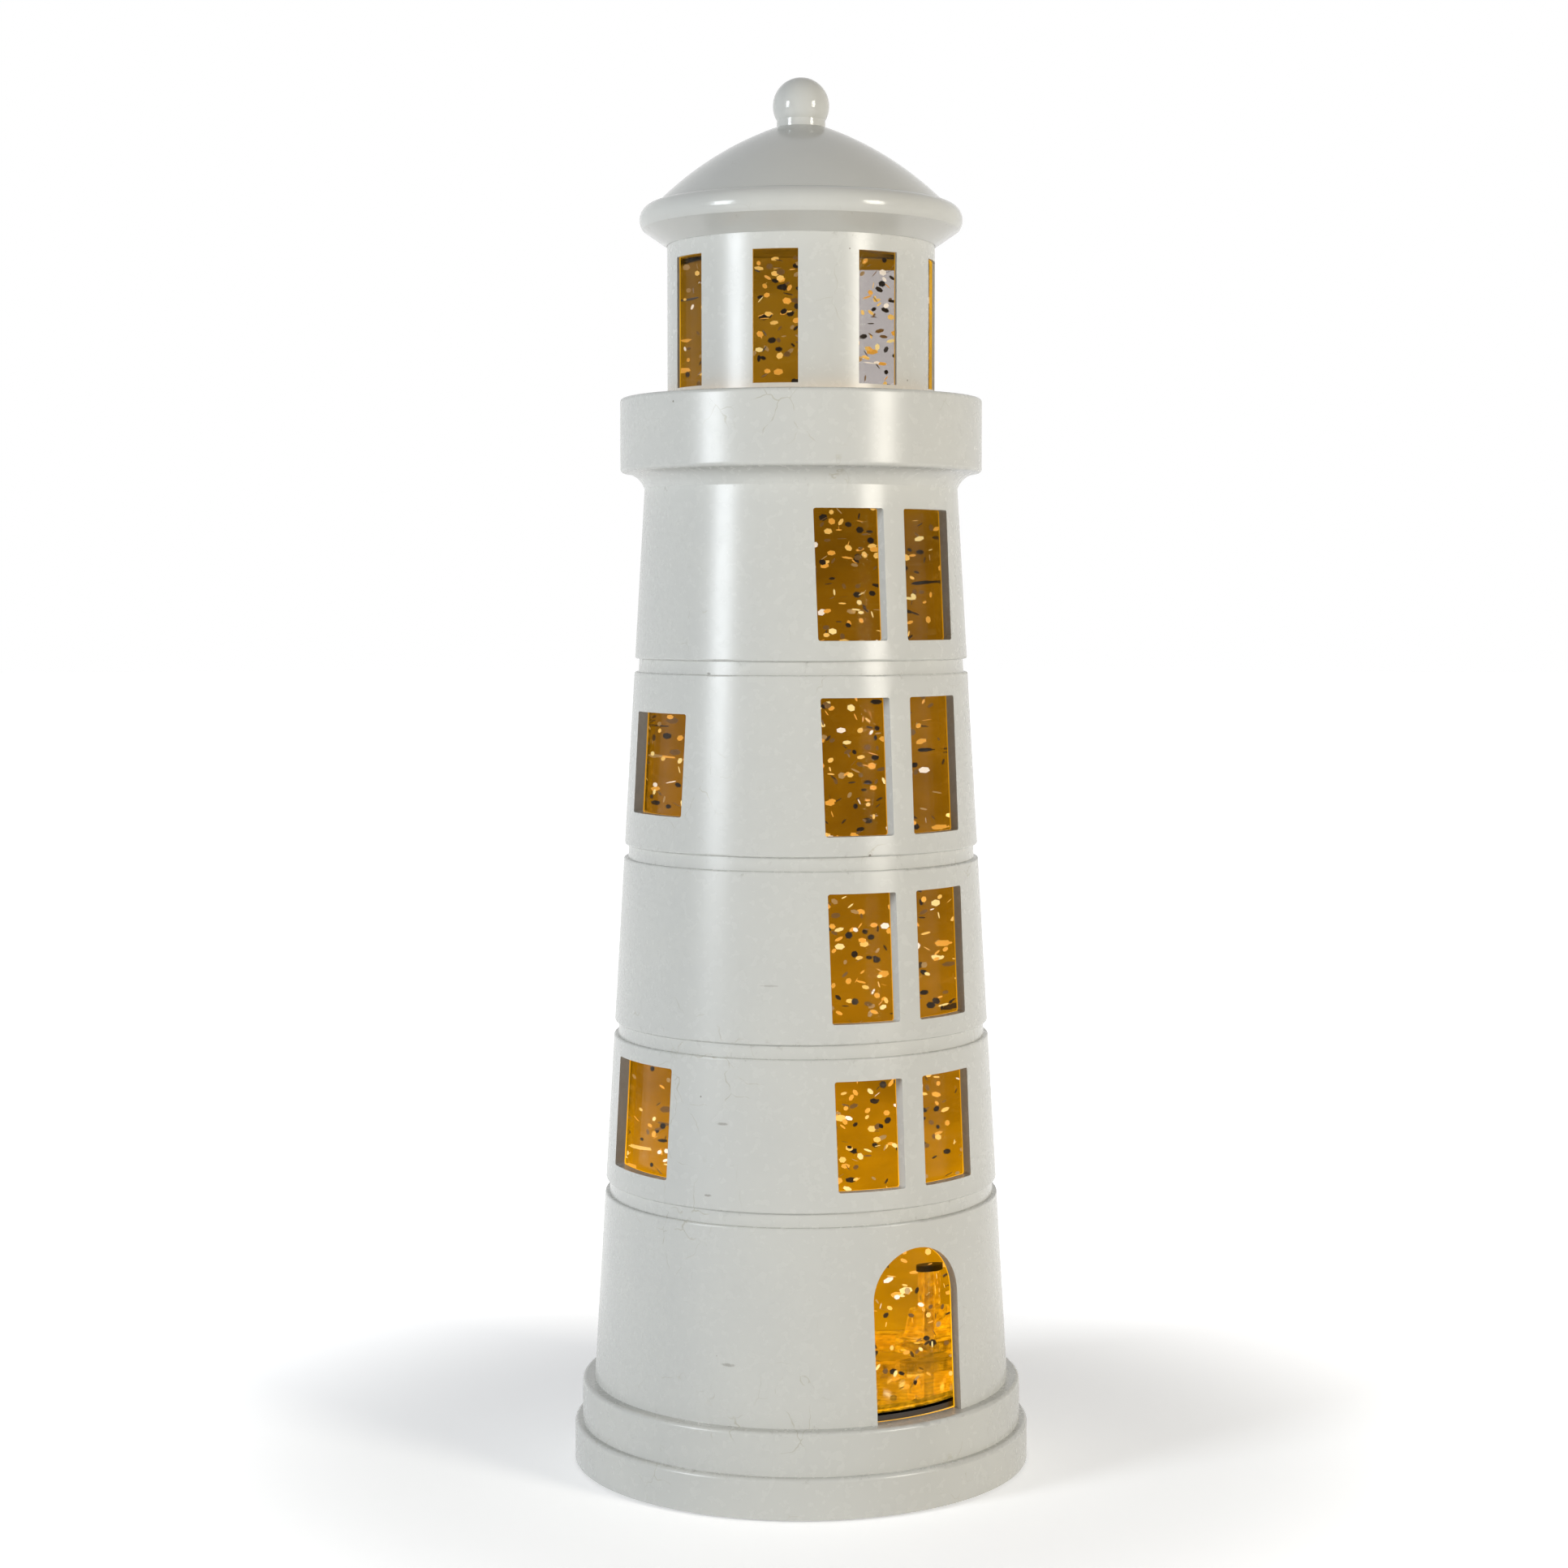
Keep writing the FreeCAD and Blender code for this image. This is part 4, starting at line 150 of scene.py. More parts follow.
class Graph:
    """The node graph of one material.  Each method adds a node and returns its output."""

    def __init__(self, name):
        self.material = bpy.data.materials.new(name)
        self.material.use_nodes = True
        self.tree = self.material.node_tree
        self.tree.nodes.clear()
        self.surface = self.add("ShaderNodeBsdfPrincipled")
        output = self.add("ShaderNodeOutputMaterial")
        self.tree.links.new(self.surface.outputs["BSDF"], output.inputs["Surface"])
        metres = self.add("ShaderNodeTexCoord").outputs["Object"]
        self.point = self.vector("SCALE", metres, scale=1 / MM)

    def add(self, kind):
        return self.tree.nodes.new(kind)

    def feed(self, socket, value):
        """Link an output to a socket, or set the socket to a number or colour."""
        if isinstance(value, bpy.types.NodeSocket):
            self.tree.links.new(value, socket)
        elif socket.type == "RGBA":
            socket.default_value = (*value, 1)
        else:
            socket.default_value = value

    def set(self, **values):
        """Set sockets of the surface shader: base_color is its Base Color."""
        for name, value in values.items():
            title = name.replace("_", " ").title().replace("Ior", "IOR")
            self.feed(self.surface.inputs[title], value)
        return self

    def math(self, operation, first, second=0.0, clamp=False):
        node = self.add("ShaderNodeMath")
        node.operation = operation
        node.use_clamp = clamp
        for socket, value in zip(node.inputs, (first, second)):
            self.feed(socket, value)
        return node.outputs[0]

    def vector(self, operation, first, second=(0, 0, 0), scale=1.0):
        node = self.add("ShaderNodeVectorMath")
        node.operation = operation
        self.feed(node.inputs[0], first)
        if operation == "SCALE":
            self.feed(node.inputs["Scale"], scale)
        else:
            self.feed(node.inputs[1], second)
        return node.outputs["Value" if operation in ("LENGTH", "DOT_PRODUCT", "DISTANCE") else "Vector"]

    def part(self, axis, vector=None):
        """One coordinate of a point."""
        node = self.add("ShaderNodeSeparateXYZ")
        self.feed(node.inputs[0], vector or self.point)
        return node.outputs[axis]

    def radius(self):
        """Distance from the vertical axis."""
        return self.vector("LENGTH", self.vector("MULTIPLY", self.point, (1, 1, 0)))

    def noise(self, scale, detail=2.0, roughness=0.5, vector=None):
        node = self.add("ShaderNodeTexNoise")
        self.feed(node.inputs["Vector"], vector or self.point)
        for name, value in (("Scale", scale), ("Detail", detail), ("Roughness", roughness)):
            node.inputs[name].default_value = value
        return node.outputs[0]

    def cells(self, scale, feature="F1", output="Distance", vector=None):
        node = self.add("ShaderNodeTexVoronoi")
        node.feature = feature
        self.feed(node.inputs["Vector"], vector or self.point)
        node.inputs["Scale"].default_value = scale
        return node.outputs[output]

    def ease(self, value, low, high, start=0.0, stop=1.0):
        """Smooth step from start to stop as a value goes from low to high."""
        node = self.add("ShaderNodeMapRange")
        node.interpolation_type = "SMOOTHSTEP"
        for name, number in (("From Min", low), ("From Max", high), ("To Min", start), ("To Max", stop)):
            self.feed(node.inputs[name], number)
        self.feed(node.inputs["Value"], value)
        return node.outputs["Result"]

    def blend(self, factor, first, second, mode="MIX"):
        node = self.add("ShaderNodeMix")
        node.data_type = "RGBA"
        node.blend_type = mode
        self.feed(node.inputs[0], factor)
        self.feed(node.inputs[6], first)
        self.feed(node.inputs[7], second)
        return node.outputs[2]

    def ramp(self, value, stops, steps="LINEAR"):
        """A colour for each value, from stops of (place, colour)."""
        node = self.add("ShaderNodeValToRGB")
        node.color_ramp.interpolation = steps
        elements = node.color_ramp.elements
        while len(elements) < len(stops):
            elements.new(1.0)
        for element, (place, colour) in zip(elements, stops):
            element.position = place
            element.color = (*colour, 1)
        self.feed(node.inputs[0], value)
        return node.outputs[0]

    def twist(self, turn_per_mm, squeeze):
        """The point wound about the axis, so that noise on it runs in slanting streaks."""
        node = self.add("ShaderNodeVectorRotate")
        node.rotation_type = "Z_AXIS"
        self.feed(node.inputs["Vector"], self.vector("MULTIPLY", self.point, (1, 1, squeeze)))
        self.feed(node.inputs["Angle"], self.math("MULTIPLY", self.part("Z"), turn_per_mm))
        return node.outputs[0]

    def bump(self, height, depth, strength=1.0):
        """Raise the surface by a height map, depth in millimetres."""
        node = self.add("ShaderNodeBump")
        node.inputs["Strength"].default_value = strength
        node.inputs["Distance"].default_value = depth * MM
        self.feed(node.inputs["Height"], height)
        self.feed(self.surface.inputs["Normal"], node.outputs[0])
        return self


PAINT_SHADES = [(0.30, (0.572, 0.572, 0.540)), (0.70, (0.592, 0.590, 0.552))]
CRACKLE_TINT = (0.36, 0.33, 0.23)
# Colour of dirt specks and scuffs, and of the dirt and painted shade along grooves and inner corners
DIRT_AND_SHADE = (0.11, 0.085, 0.05)
GOLD_WALL = (0.30, 0.15, 0.008)
LINING_DEPTH = 0.45
# Where the underside of the roof carries the painted glow: which way it faces, and the width of its rim
CEILING_FACING = (-0.30, -0.15)
CEILING_RIM = 0.4
# Colour of the painted glow on the clear plastic, standing in for the light of the lamps in the base
PAINTED_LAMP_GLOW = (1.0, 0.50, 0.01)
LED_GLOW = (1.0, 0.62, 0.12)
# Colour of the painted pool of warm light on the deck
PAINTED_DECK_GLOW = (1.0, 0.55, 0.04)
# How far the painted glow on the clear plastic and the painted light on the deck reach from the lamps
CLEAR_LAMP_REACH = 26.0
DECK_LAMP_REACH = 14.0
CLEAR_MIRROR = (0.03, 0.03, 0.03)

# Painted glow of the gold lining, standing in for the light of the lamps in the base, by share of the whole
# height
LINING_PAINTED_GLOW = [
    (0.03, (1.25, 0.58, 0.002)),
    (0.18, (1.30, 0.59, 0.002)),
    (0.27, (0.72, 0.32, 0.003)),
    (0.40, (0.60, 0.27, 0.006)),
    (0.64, (0.42, 0.19, 0.004)),
    (0.82, (0.50, 0.26, 0.012)),
]

# Marks on the paint, as the photograph shows them: pixel, half length and half height in
# millimetres, and how dark.
SCUFFS = [
    ((890, 1385), (2.2, 0.5), 0.45),
    ((872, 1473), (1.4, 0.4), 0.50),
    ((897, 1682), (2.6, 0.6), 0.40),
    ((1072, 1054), (0.5, 0.5), 0.80),
    ((870, 830), (0.9, 0.4), 0.60),
    ((948, 1215), (3.4, 0.35), 0.25),
]


def crackle(graph):
    """Fine yellow-grey lines in patches of the paint, from 0 to 1."""
    offset = graph.vector("SCALE", noise_vector(graph, 0.18, graph.point), scale=5.0)
    moved = graph.vector("ADD", graph.point, offset)
    edge = graph.cells(0.085, "DISTANCE_TO_EDGE", vector=moved)
    line = graph.ease(edge, 0.003, 0.013, 1.0, 0.0)
    patch = graph.ease(graph.noise(0.035, 3.0), 0.54, 0.66)
    broken = graph.ease(graph.noise(0.25, 3.0), 0.42, 0.58)
    return graph.math("MULTIPLY", graph.math("MULTIPLY", line, patch), broken)


def noise_vector(graph, scale, vector):
    """Noise as a vector about zero."""
    node = graph.add("ShaderNodeTexNoise")
    graph.feed(node.inputs["Vector"], vector)
    node.inputs["Scale"].default_value = scale
    return graph.vector("SUBTRACT", node.outputs[1], (0.5, 0.5, 0.5))


def specks(graph, scale, size, share):
    """Small round dirt specks, one in some of the cells."""
    distance = graph.cells(scale)
    chance = graph.part("X", graph.cells(scale, output="Color"))
    chosen = graph.ease(chance, share - 0.01, share + 0.01, 1.0, 0.0)
    return graph.math("MULTIPLY", graph.ease(distance, size * 0.6, size, 1.0, 0.0), chosen)


def height_share(graph):
    """Height as a share of the whole height."""
    return graph.math("DIVIDE", graph.part("Z"), ROOF_TOP)


def lamp_distance(graph):
    """Distance from the circle of the lamps in the base."""
    return graph.math("ABSOLUTE", graph.math("SUBTRACT", graph.radius(), LIGHT_CIRCLE))


def near_level(graph, level, reach):
    """1 at a height, down to 0 at a distance from it."""
    away = graph.math("ABSOLUTE", graph.math("SUBTRACT", graph.part("Z"), level))
    return graph.ease(away, 0.0, reach, 1.0, 0.0)


def grime_and_painted_shade(graph, levels, reach):
    """Dirt and painted shade along grooves and inner corners, in uneven patches."""
    total = 0.0
    for level in levels:
        total = graph.math("ADD", near_level(graph, level, reach), total)
    uneven = graph.ease(graph.noise(0.35, 5.0, 0.7), 0.58, 0.80)
    return graph.math("MULTIPLY", total, uneven, clamp=True)


def scuff(graph, pixel, half_sizes, strength):
    """One mark at a place of the photograph."""
    middle = tower_point(*pixel)
    outward = Vector((middle.x, middle.y, 0)).normalized()
    across = Vector((-outward.y, outward.x, 0))
    length, height = half_sizes
    away = graph.vector("SUBTRACT", graph.point, tuple(middle))
    along = graph.math("DIVIDE", graph.vector("DOT_PRODUCT", away, tuple(across)), length)
    deep = graph.math("DIVIDE", graph.vector("DOT_PRODUCT", away, tuple(outward)), 2 * TOWER_WALL)
    high = graph.math("DIVIDE", graph.part("Z", away), height)
    squared = graph.math("ADD", graph.math("MULTIPLY", along, along), graph.math("MULTIPLY", high, high))
    squared = graph.math("ADD", squared, graph.math("MULTIPLY", deep, deep))
    ragged = graph.math("ADD", squared, graph.math("MULTIPLY", graph.noise(1.6, 4.0, 0.7), 1.2))
    return graph.ease(ragged, 0.7, 1.3, strength, 0.0)


def white_paint(name, dirt_and_shade_levels=(), dirt_and_shade_reach=2.2, gloss=0.26, marks=(), aged=1.0):
    """Satin white paint on moulded plastic, a little aged."""
    graph = Graph(name)
    mottle = graph.noise(0.05, 5.0, 0.6)
    colour = graph.ramp(mottle, PAINT_SHADES)
    lines = graph.math("MULTIPLY", crackle(graph), 0.50 * aged)
    colour = graph.blend(lines, colour, CRACKLE_TINT)
    dots = graph.math("MULTIPLY", specks(graph, 0.11, 0.035, 0.16), 0.75 * aged)
    colour = graph.blend(dots, colour, DIRT_AND_SHADE)
    # Dirt and painted shade along grooves and inner corners
    if dirt_and_shade_levels:
        settled_dirt_and_shade = graph.math("MULTIPLY", grime_and_painted_shade(graph, dirt_and_shade_levels, dirt_and_shade_reach), 0.55)
        colour = graph.blend(settled_dirt_and_shade, colour, DIRT_AND_SHADE)
    for pixel, half_sizes, strength in marks:
        colour = graph.blend(scuff(graph, pixel, half_sizes, strength), colour, DIRT_AND_SHADE)
    streaks = graph.noise(0.8, 2.0, 0.5, graph.twist(0.016, 0.12))
    height = graph.math("MULTIPLY", streaks, 0.6)
    height = graph.math("SUBTRACT", height, graph.math("MULTIPLY", lines, 0.4))
    rough = graph.ease(graph.noise(0.4, 4.0), 0.3, 0.7, gloss - 0.01, gloss + 0.02)
    graph.set(base_color=colour, roughness=rough, specular_IOR_level=0.34)
    graph.bump(height, 0.03, 0.45)
    return graph


def gold_lined(graph, bore, taper=0.0, foot=0.0):
    """Give the inside of a white shell its gold lining, with a painted glow standing in for the light of the
    lamps in the base.
    """
    wall = graph.math("SUBTRACT", graph.radius(), bore)
    if taper:
        lowered = graph.math("MULTIPLY", graph.math("SUBTRACT", graph.part("Z"), foot), taper)
        wall = graph.math("ADD", wall, lowered)
    inside = graph.ease(wall, LINING_DEPTH - 0.2, LINING_DEPTH, 1.0, 0.0)
    # Painted glow on the lining, uneven in patches and set by height
    patches = graph.ease(graph.noise(0.055, 3.0, 0.6), 0.25, 0.75, 0.72, 1.22)
    painted_glow = graph.vector("SCALE", graph.ramp(height_share(graph), LINING_PAINTED_GLOW), scale=patches)
    outer = graph.surface.inputs["Base Color"].links[0].from_socket
    graph.set(
        base_color=graph.blend(inside, outer, GOLD_WALL),
        emission_color=painted_glow,
        emission_strength=inside,
    )
    return graph


def gold_ceiling(graph, reach):
    """Give the underside of the roof, over the lantern, the same painted glow, standing in for the light of
    the lamps below.
    """
    facing = graph.part("Z", graph.add("ShaderNodeNewGeometry").outputs["True Normal"])
    inside = graph.math("MULTIPLY", graph.ease(facing, *CEILING_FACING, 1.0, 0.0),
                        graph.ease(graph.radius(), reach - CEILING_RIM, reach, 1.0, 0.0))
    graph.set(emission_color=LINING_PAINTED_GLOW[-1][1], emission_strength=inside)
    return graph


def moulded(name, colour, roughness=0.45, grain=3.0, depth=0.02, **more):
    """Moulded plastic or rubber with a fine grain."""
    graph = Graph(name)
    shade = graph.noise(0.25, 4.0)
    darker = tuple(0.86 * part for part in colour)
    graph.set(base_color=graph.ramp(shade, [(0.3, darker), (0.7, colour)]), **more)
    graph.set(roughness=graph.ease(graph.noise(0.6, 3.0), 0.3, 0.7, roughness - 0.06, roughness + 0.06))
    graph.bump(graph.noise(grain, 3.0), depth, 0.6)
    return graph


def metal(name, colour, roughness=0.3, lines=6.0, along=(1, 1, 0.05), depth=0.01):
    """Metal with fine drawn or turned lines."""
    graph = Graph(name)
    streaks = graph.noise(lines, 3.0, 0.6, graph.vector("MULTIPLY", graph.point, along))
    darker = tuple(0.78 * part for part in colour)
    graph.set(base_color=graph.ramp(streaks, [(0.3, darker), (0.7, colour)]), metallic=1.0)
    graph.set(roughness=graph.ease(streaks, 0.3, 0.7, roughness - 0.07, roughness + 0.09))
    graph.bump(streaks, depth, 0.5)
    return graph


def clear(name, colour, ior, roughness=0.03, ripple=0.0):
    """Clear plastic or liquid.  Wet on one side, it mirrors little."""
    graph = Graph(name)
    tint = graph.noise(0.08, 2.0)
    paler = tuple(min(1.0, 1.04 * part) for part in colour)
    graph.set(base_color=graph.ramp(tint, [(0.3, colour), (0.7, paler)]), roughness=roughness, ior=ior,
              transmission_weight=1.0, specular_tint=CLEAR_MIRROR)
    if ripple:
        graph.bump(graph.noise(0.09, 2.0), ripple, 0.5)
    return graph


def clear_with_painted_glow(name, colour, ior, strength):
    """Clear plastic with a painted glow standing in for the light of the lamps under it, strongest above
    them.
    """
    graph = clear(name, colour, ior, 0.05)
    # Painted glow, strongest over the lamps, uneven in veins
    near = graph.ease(lamp_distance(graph), 0.0, CLEAR_LAMP_REACH, strength, 0.35 * strength)
    veins = graph.ease(graph.noise(0.55, 4.0, 0.65), 0.42, 0.66, 0.25, 1.5)
    graph.set(emission_color=PAINTED_LAMP_GLOW, emission_strength=graph.math("MULTIPLY", near, veins))
    return graph


def glitter_paint():
    """Flakes of several foils; the shade of a flake comes from its own random number."""
    graph = Graph("glitter")
    node = graph.add("ShaderNodeAttribute")
    node.attribute_name = "foil"
    foil = node.outputs["Fac"]
    colours = [
        (0.00, (0.80, 0.40, 0.06)),
        (0.20, (0.90, 0.58, 0.15)),
        (0.34, (0.92, 0.76, 0.32)),
        (0.42, (0.95, 0.90, 0.78)),
        (0.47, (0.16, 0.09, 0.03)),
        (0.62, (0.020, 0.016, 0.012)),
        (0.90, (0.36, 0.24, 0.10)),
    ]
    colour = graph.ramp(foil, colours, "CONSTANT")
    # Painted glow: each flake glows in its own colour, brighter low down, standing in for the light of the
    # lamps in the base
    lit = graph.ease(height_share(graph), 0.05, 0.85, 1.6, 1.0)
    graph.set(base_color=colour, metallic=0.35, roughness=0.32, emission_color=colour, emission_strength=lit)
    graph.bump(graph.noise(3.0, 2.0), 0.02, 0.4)
    return graph


def windings_copper():
    """Enamelled wire, turn beside turn."""
    graph = Graph("copper_windings")
    wave = graph.add("ShaderNodeTexWave")
    wave.wave_profile = "SIN"
    graph.feed(wave.inputs["Vector"], graph.point)
    wave.inputs["Scale"].default_value = 0.9
    wave.inputs["Distortion"].default_value = 0.4
    turns = wave.outputs["Fac"]
    graph.set(base_color=graph.ramp(turns, [(0.1, (0.24, 0.07, 0.02)), (0.7, (0.72, 0.27, 0.10))]),
              metallic=0.9, roughness=0.28)
    graph.bump(turns, 0.12, 0.8)
    return graph


def circuit_board():
    """Green board with a faint pattern of tracks."""
    graph = Graph("circuit_board")
    tracks = graph.ease(graph.cells(0.45, "DISTANCE_TO_EDGE"), 0.03, 0.06, 1.0, 0.0)
    fine = graph.noise(1.5, 3.0)
    base = graph.ramp(fine, [(0.3, (0.010, 0.070, 0.025)), (0.7, (0.016, 0.105, 0.038))])
    graph.set(base_color=graph.blend(tracks, base, (0.03, 0.19, 0.07)), roughness=0.32)
    graph.bump(tracks, 0.04, 0.5)
    return graph


CELL_BAND_START = 14.0
CELL_TIP_START = 24.6


def cell_jacket():
    """A plain cell: dark sleeve with copper bands towards its ends, bare metal at the tips."""
    graph = Graph("cell_jacket")
    reach = graph.math("ABSOLUTE", graph.part("Y"))
    band = graph.ease(reach, CELL_BAND_START, CELL_BAND_START + 0.3)
    bare = graph.ease(reach, CELL_TIP_START, CELL_TIP_START + 0.2)
    body = graph.ramp(graph.noise(0.3, 3.0), [(0.3, (0.02, 0.02, 0.022)), (0.7, (0.035, 0.035, 0.038))])
    colour = graph.blend(bare, graph.blend(band, body, (0.50, 0.23, 0.08)), (0.55, 0.55, 0.54))
    plated = graph.ease(reach, CELL_BAND_START, CELL_BAND_START + 0.3, 0.1, 0.85)
    graph.set(base_color=colour, metallic=plated,
              roughness=graph.ease(graph.noise(0.5, 3.0), 0.3, 0.7, 0.26, 0.38))
    graph.bump(graph.noise(2.0, 2.0), 0.01, 0.4)
    return graph


def lead_cover():
    """Lead insulation: red on the front side, black at the back."""
    graph = Graph("lead_insulation")
    shade = graph.noise(1.2, 3.0)
    red = graph.ramp(shade, [(0.3, (0.30, 0.015, 0.012)), (0.7, (0.42, 0.025, 0.018))])
    black = graph.ramp(shade, [(0.3, (0.012, 0.012, 0.013)), (0.7, (0.022, 0.022, 0.024))])
    graph.set(base_color=graph.blend(graph.ease(graph.part("Y"), 0.0, 0.5), red, black), roughness=0.42)
    graph.bump(shade, 0.03, 0.5)
    return graph


LAMP_STRENGTH = 6.0


def led_lamp():
    """Small warm lamps, lit."""
    graph = Graph("led")
    lit = graph.ease(lamp_distance(graph), 0.2, 1.3, 1.0, 0.15)
    lens = graph.ramp(lit, [(0.2, (0.75, 0.72, 0.62)), (0.9, (0.95, 0.62, 0.10))])
    graph.set(base_color=lens, roughness=0.3,
              emission_color=LED_GLOW, emission_strength=graph.math("MULTIPLY", lit, LAMP_STRENGTH))
    graph.bump(graph.noise(2.0), 0.02, 0.4)
    return graph


def deck_with_painted_light():
    """White deck with a painted pool of warm light, standing in for the light of the lamps under it."""
    graph = Graph("deck_white")
    # Painted pool of light, strongest over the lamps and uneven
    near = graph.ease(lamp_distance(graph), 0.0, DECK_LAMP_REACH, 1.0, 0.25)
    uneven = graph.ease(graph.noise(0.12, 3.0), 0.3, 0.7, 0.7, 1.1)
    shade = graph.ramp(graph.noise(0.2, 4.0), [(0.3, (0.62, 0.60, 0.55)), (0.7, (0.68, 0.66, 0.61))])
    graph.set(base_color=shade, roughness=0.5, emission_color=PAINTED_DECK_GLOW,
              emission_strength=graph.math("MULTIPLY", near, uneven))
    graph.bump(graph.noise(2.5, 3.0), 0.02, 0.5)
    return graph


def make_materials():
    """One material for each finish, and the CAD nodes that have it."""
    grooves = [level + side * GROOVE_HALF for level in GROOVE_LEVELS for side in (-1, 1)]
    taper = (TOWER_FOOT_RADIUS - TOWER_TOP_RADIUS) / (TOWER_TOP - STEP_TOP)
    roof = white_paint("roof_white", [EAVE_LEVEL, ROOF_CROWN], 1.6, gloss=0.15, aged=0.6)
    tower = white_paint("tower_white", [*grooves, STEP_TOP, TOWER_TOP], marks=SCUFFS)
    gold_lined(tower, TOWER_FOOT_RADIUS - TOWER_WALL, taper, STEP_TOP)
    gallery = gold_lined(white_paint("gallery_white", [TOWER_TOP]), TOWER_TOP_RADIUS - TOWER_WALL)
    lantern = gold_lined(white_paint("lantern_white", [GALLERY_FLOOR, ROOF_LINE]), LANTERN_BORE)
    steel = metal("steel", (0.60, 0.60, 0.61))
    turned_steel = metal("turned_steel", (0.62, 0.62, 0.63), 0.24, 9.0, (0.1, 0.1, 4))
    rubber = moulded("black_rubber", (0.022, 0.022, 0.023), 0.62, 2.2, 0.06)
    finishes = {
        tower: ["tower_shell"],
        gallery: ["gallery_ring"],
        lantern: ["lantern_room"],
        gold_ceiling(roof, LANTERN_BORE): ["roof_cap"],
        white_paint("ball_white", [ROOF_CROWN], 1.0, gloss=0.08, aged=0.3): ["finial"],
        white_paint("base_white", [PLINTH_TOP], 1.6): ["base_pan", "battery_door"],
        clear("vessel_clear", (0.95, 0.94, 0.92), 1.12, 0.02, 0.10): ["liquid_vessel"],
        clear_with_painted_glow("floor_clear", (0.90, 0.80, 0.50), 1.10, 0.30): ["vessel_floor", "filler_plug"],
        clear_with_painted_glow("impeller_clear", (0.90, 0.74, 0.36), 1.16, 0.55): ["impeller"],
        rubber: ["rubber_feet", "vessel_gasket", "motor_pad"],
        steel: ["motor_can", "motor_strap", "contact_plates", "contact_springs"],
        turned_steel: ["base_screws", "finial_screw", "strap_screws", "board_screws", "hinge_pin",
                       "impeller_spindle", "motor_shaft"],
        metal("iron_core", (0.30, 0.29, 0.28), 0.42, 7.0, (0.05, 0.05, 6), 0.03): ["armature_core"],
        metal("nickel_magnet", (0.45, 0.44, 0.43), 0.25): ["drive_magnets", "impeller_magnet"],
        moulded("ferrite", (0.055, 0.055, 0.06), 0.5, 1.5, 0.05): ["stator_magnets"],
        windings_copper(): ["armature_windings"],
        metal("copper", (0.78, 0.34, 0.16), 0.22, 8.0, (0.1, 0.1, 4)): ["commutator"],
        metal("sintered_bronze", (0.52, 0.36, 0.17), 0.45, 5.0, (1, 1, 1), 0.03): ["motor_bushes"],
        moulded("carbon", (0.03, 0.03, 0.032), 0.55, 5.0, 0.03): ["motor_brushes"],
        moulded("dark_plastic", (0.028, 0.028, 0.03), 0.42): ["motor_end_cap", "spindle_cap", "board_chips",
                                                              "switch_body", "switch_knob"],
        moulded("white_nylon", (0.66, 0.65, 0.60), 0.38): ["magnet_carrier"],
        deck_with_painted_light(): ["deck_plate"],
        circuit_board(): ["control_board", "led_board"],
        led_lamp(): ["leds"],
        cell_jacket(): ["battery_cells"],
        lead_cover(): ["battery_leads", "motor_leads", "led_leads"],
    }
    for graph, names in finishes.items():
        for name in names:
            wear(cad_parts[name], graph)


def sharpen(piece, degrees):
    """Keep the shading of the long faces apart across an edge."""
    split = piece.modifiers.new("sharp_edges", "EDGE_SPLIT")
    split.split_angle = math.radians(degrees)


def wear(piece, graph):
    """Give a piece one material on every slot."""
    if piece.material_slots:
        for slot in piece.material_slots:
            slot.link = "OBJECT"
            slot.material = graph.material
    else:
        piece.data.materials.append(graph.material)


# ---------------------------------------------------------------------------
# Liquid and glitter
# ---------------------------------------------------------------------------

VESSEL_EDGE_ANGLE = 8
LIQUID_SEGMENTS = 128
LIQUID_OVERLAP = 0.9
LIQUID_EDGE = 0.3
LIQUID_END_EDGE = 0.4
LIQUID_DOME_STEP = 15
LIQUID_COLOUR = (0.45, 0.42, 0.42)
LIQUID_INDEX = 1.34
FLAKE_SEED = 7
FLAKE_COUNT = 3600
FLAKE_CORNERS = 6
FLAKE_RADII = (0.60, 0.95)
FLAKE_THICKNESS = 0.06
FLAKE_MARGIN = 1.4
FLAKE_SETTLING = 1.25  # above 1, more of them are low down


def new_piece(name, points, faces, graph):
    """A mesh piece in millimetres that stands with the tower."""
    mesh = bpy.data.meshes.new(name)
    mesh.from_pydata([Vector(point) * MM for point in points], [], faces)
    mesh.update()
    piece = bpy.data.objects.new(name, mesh)
    bpy.context.scene.collection.objects.link(piece)
    mesh.materials.append(graph.material)
    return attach(piece, "root")


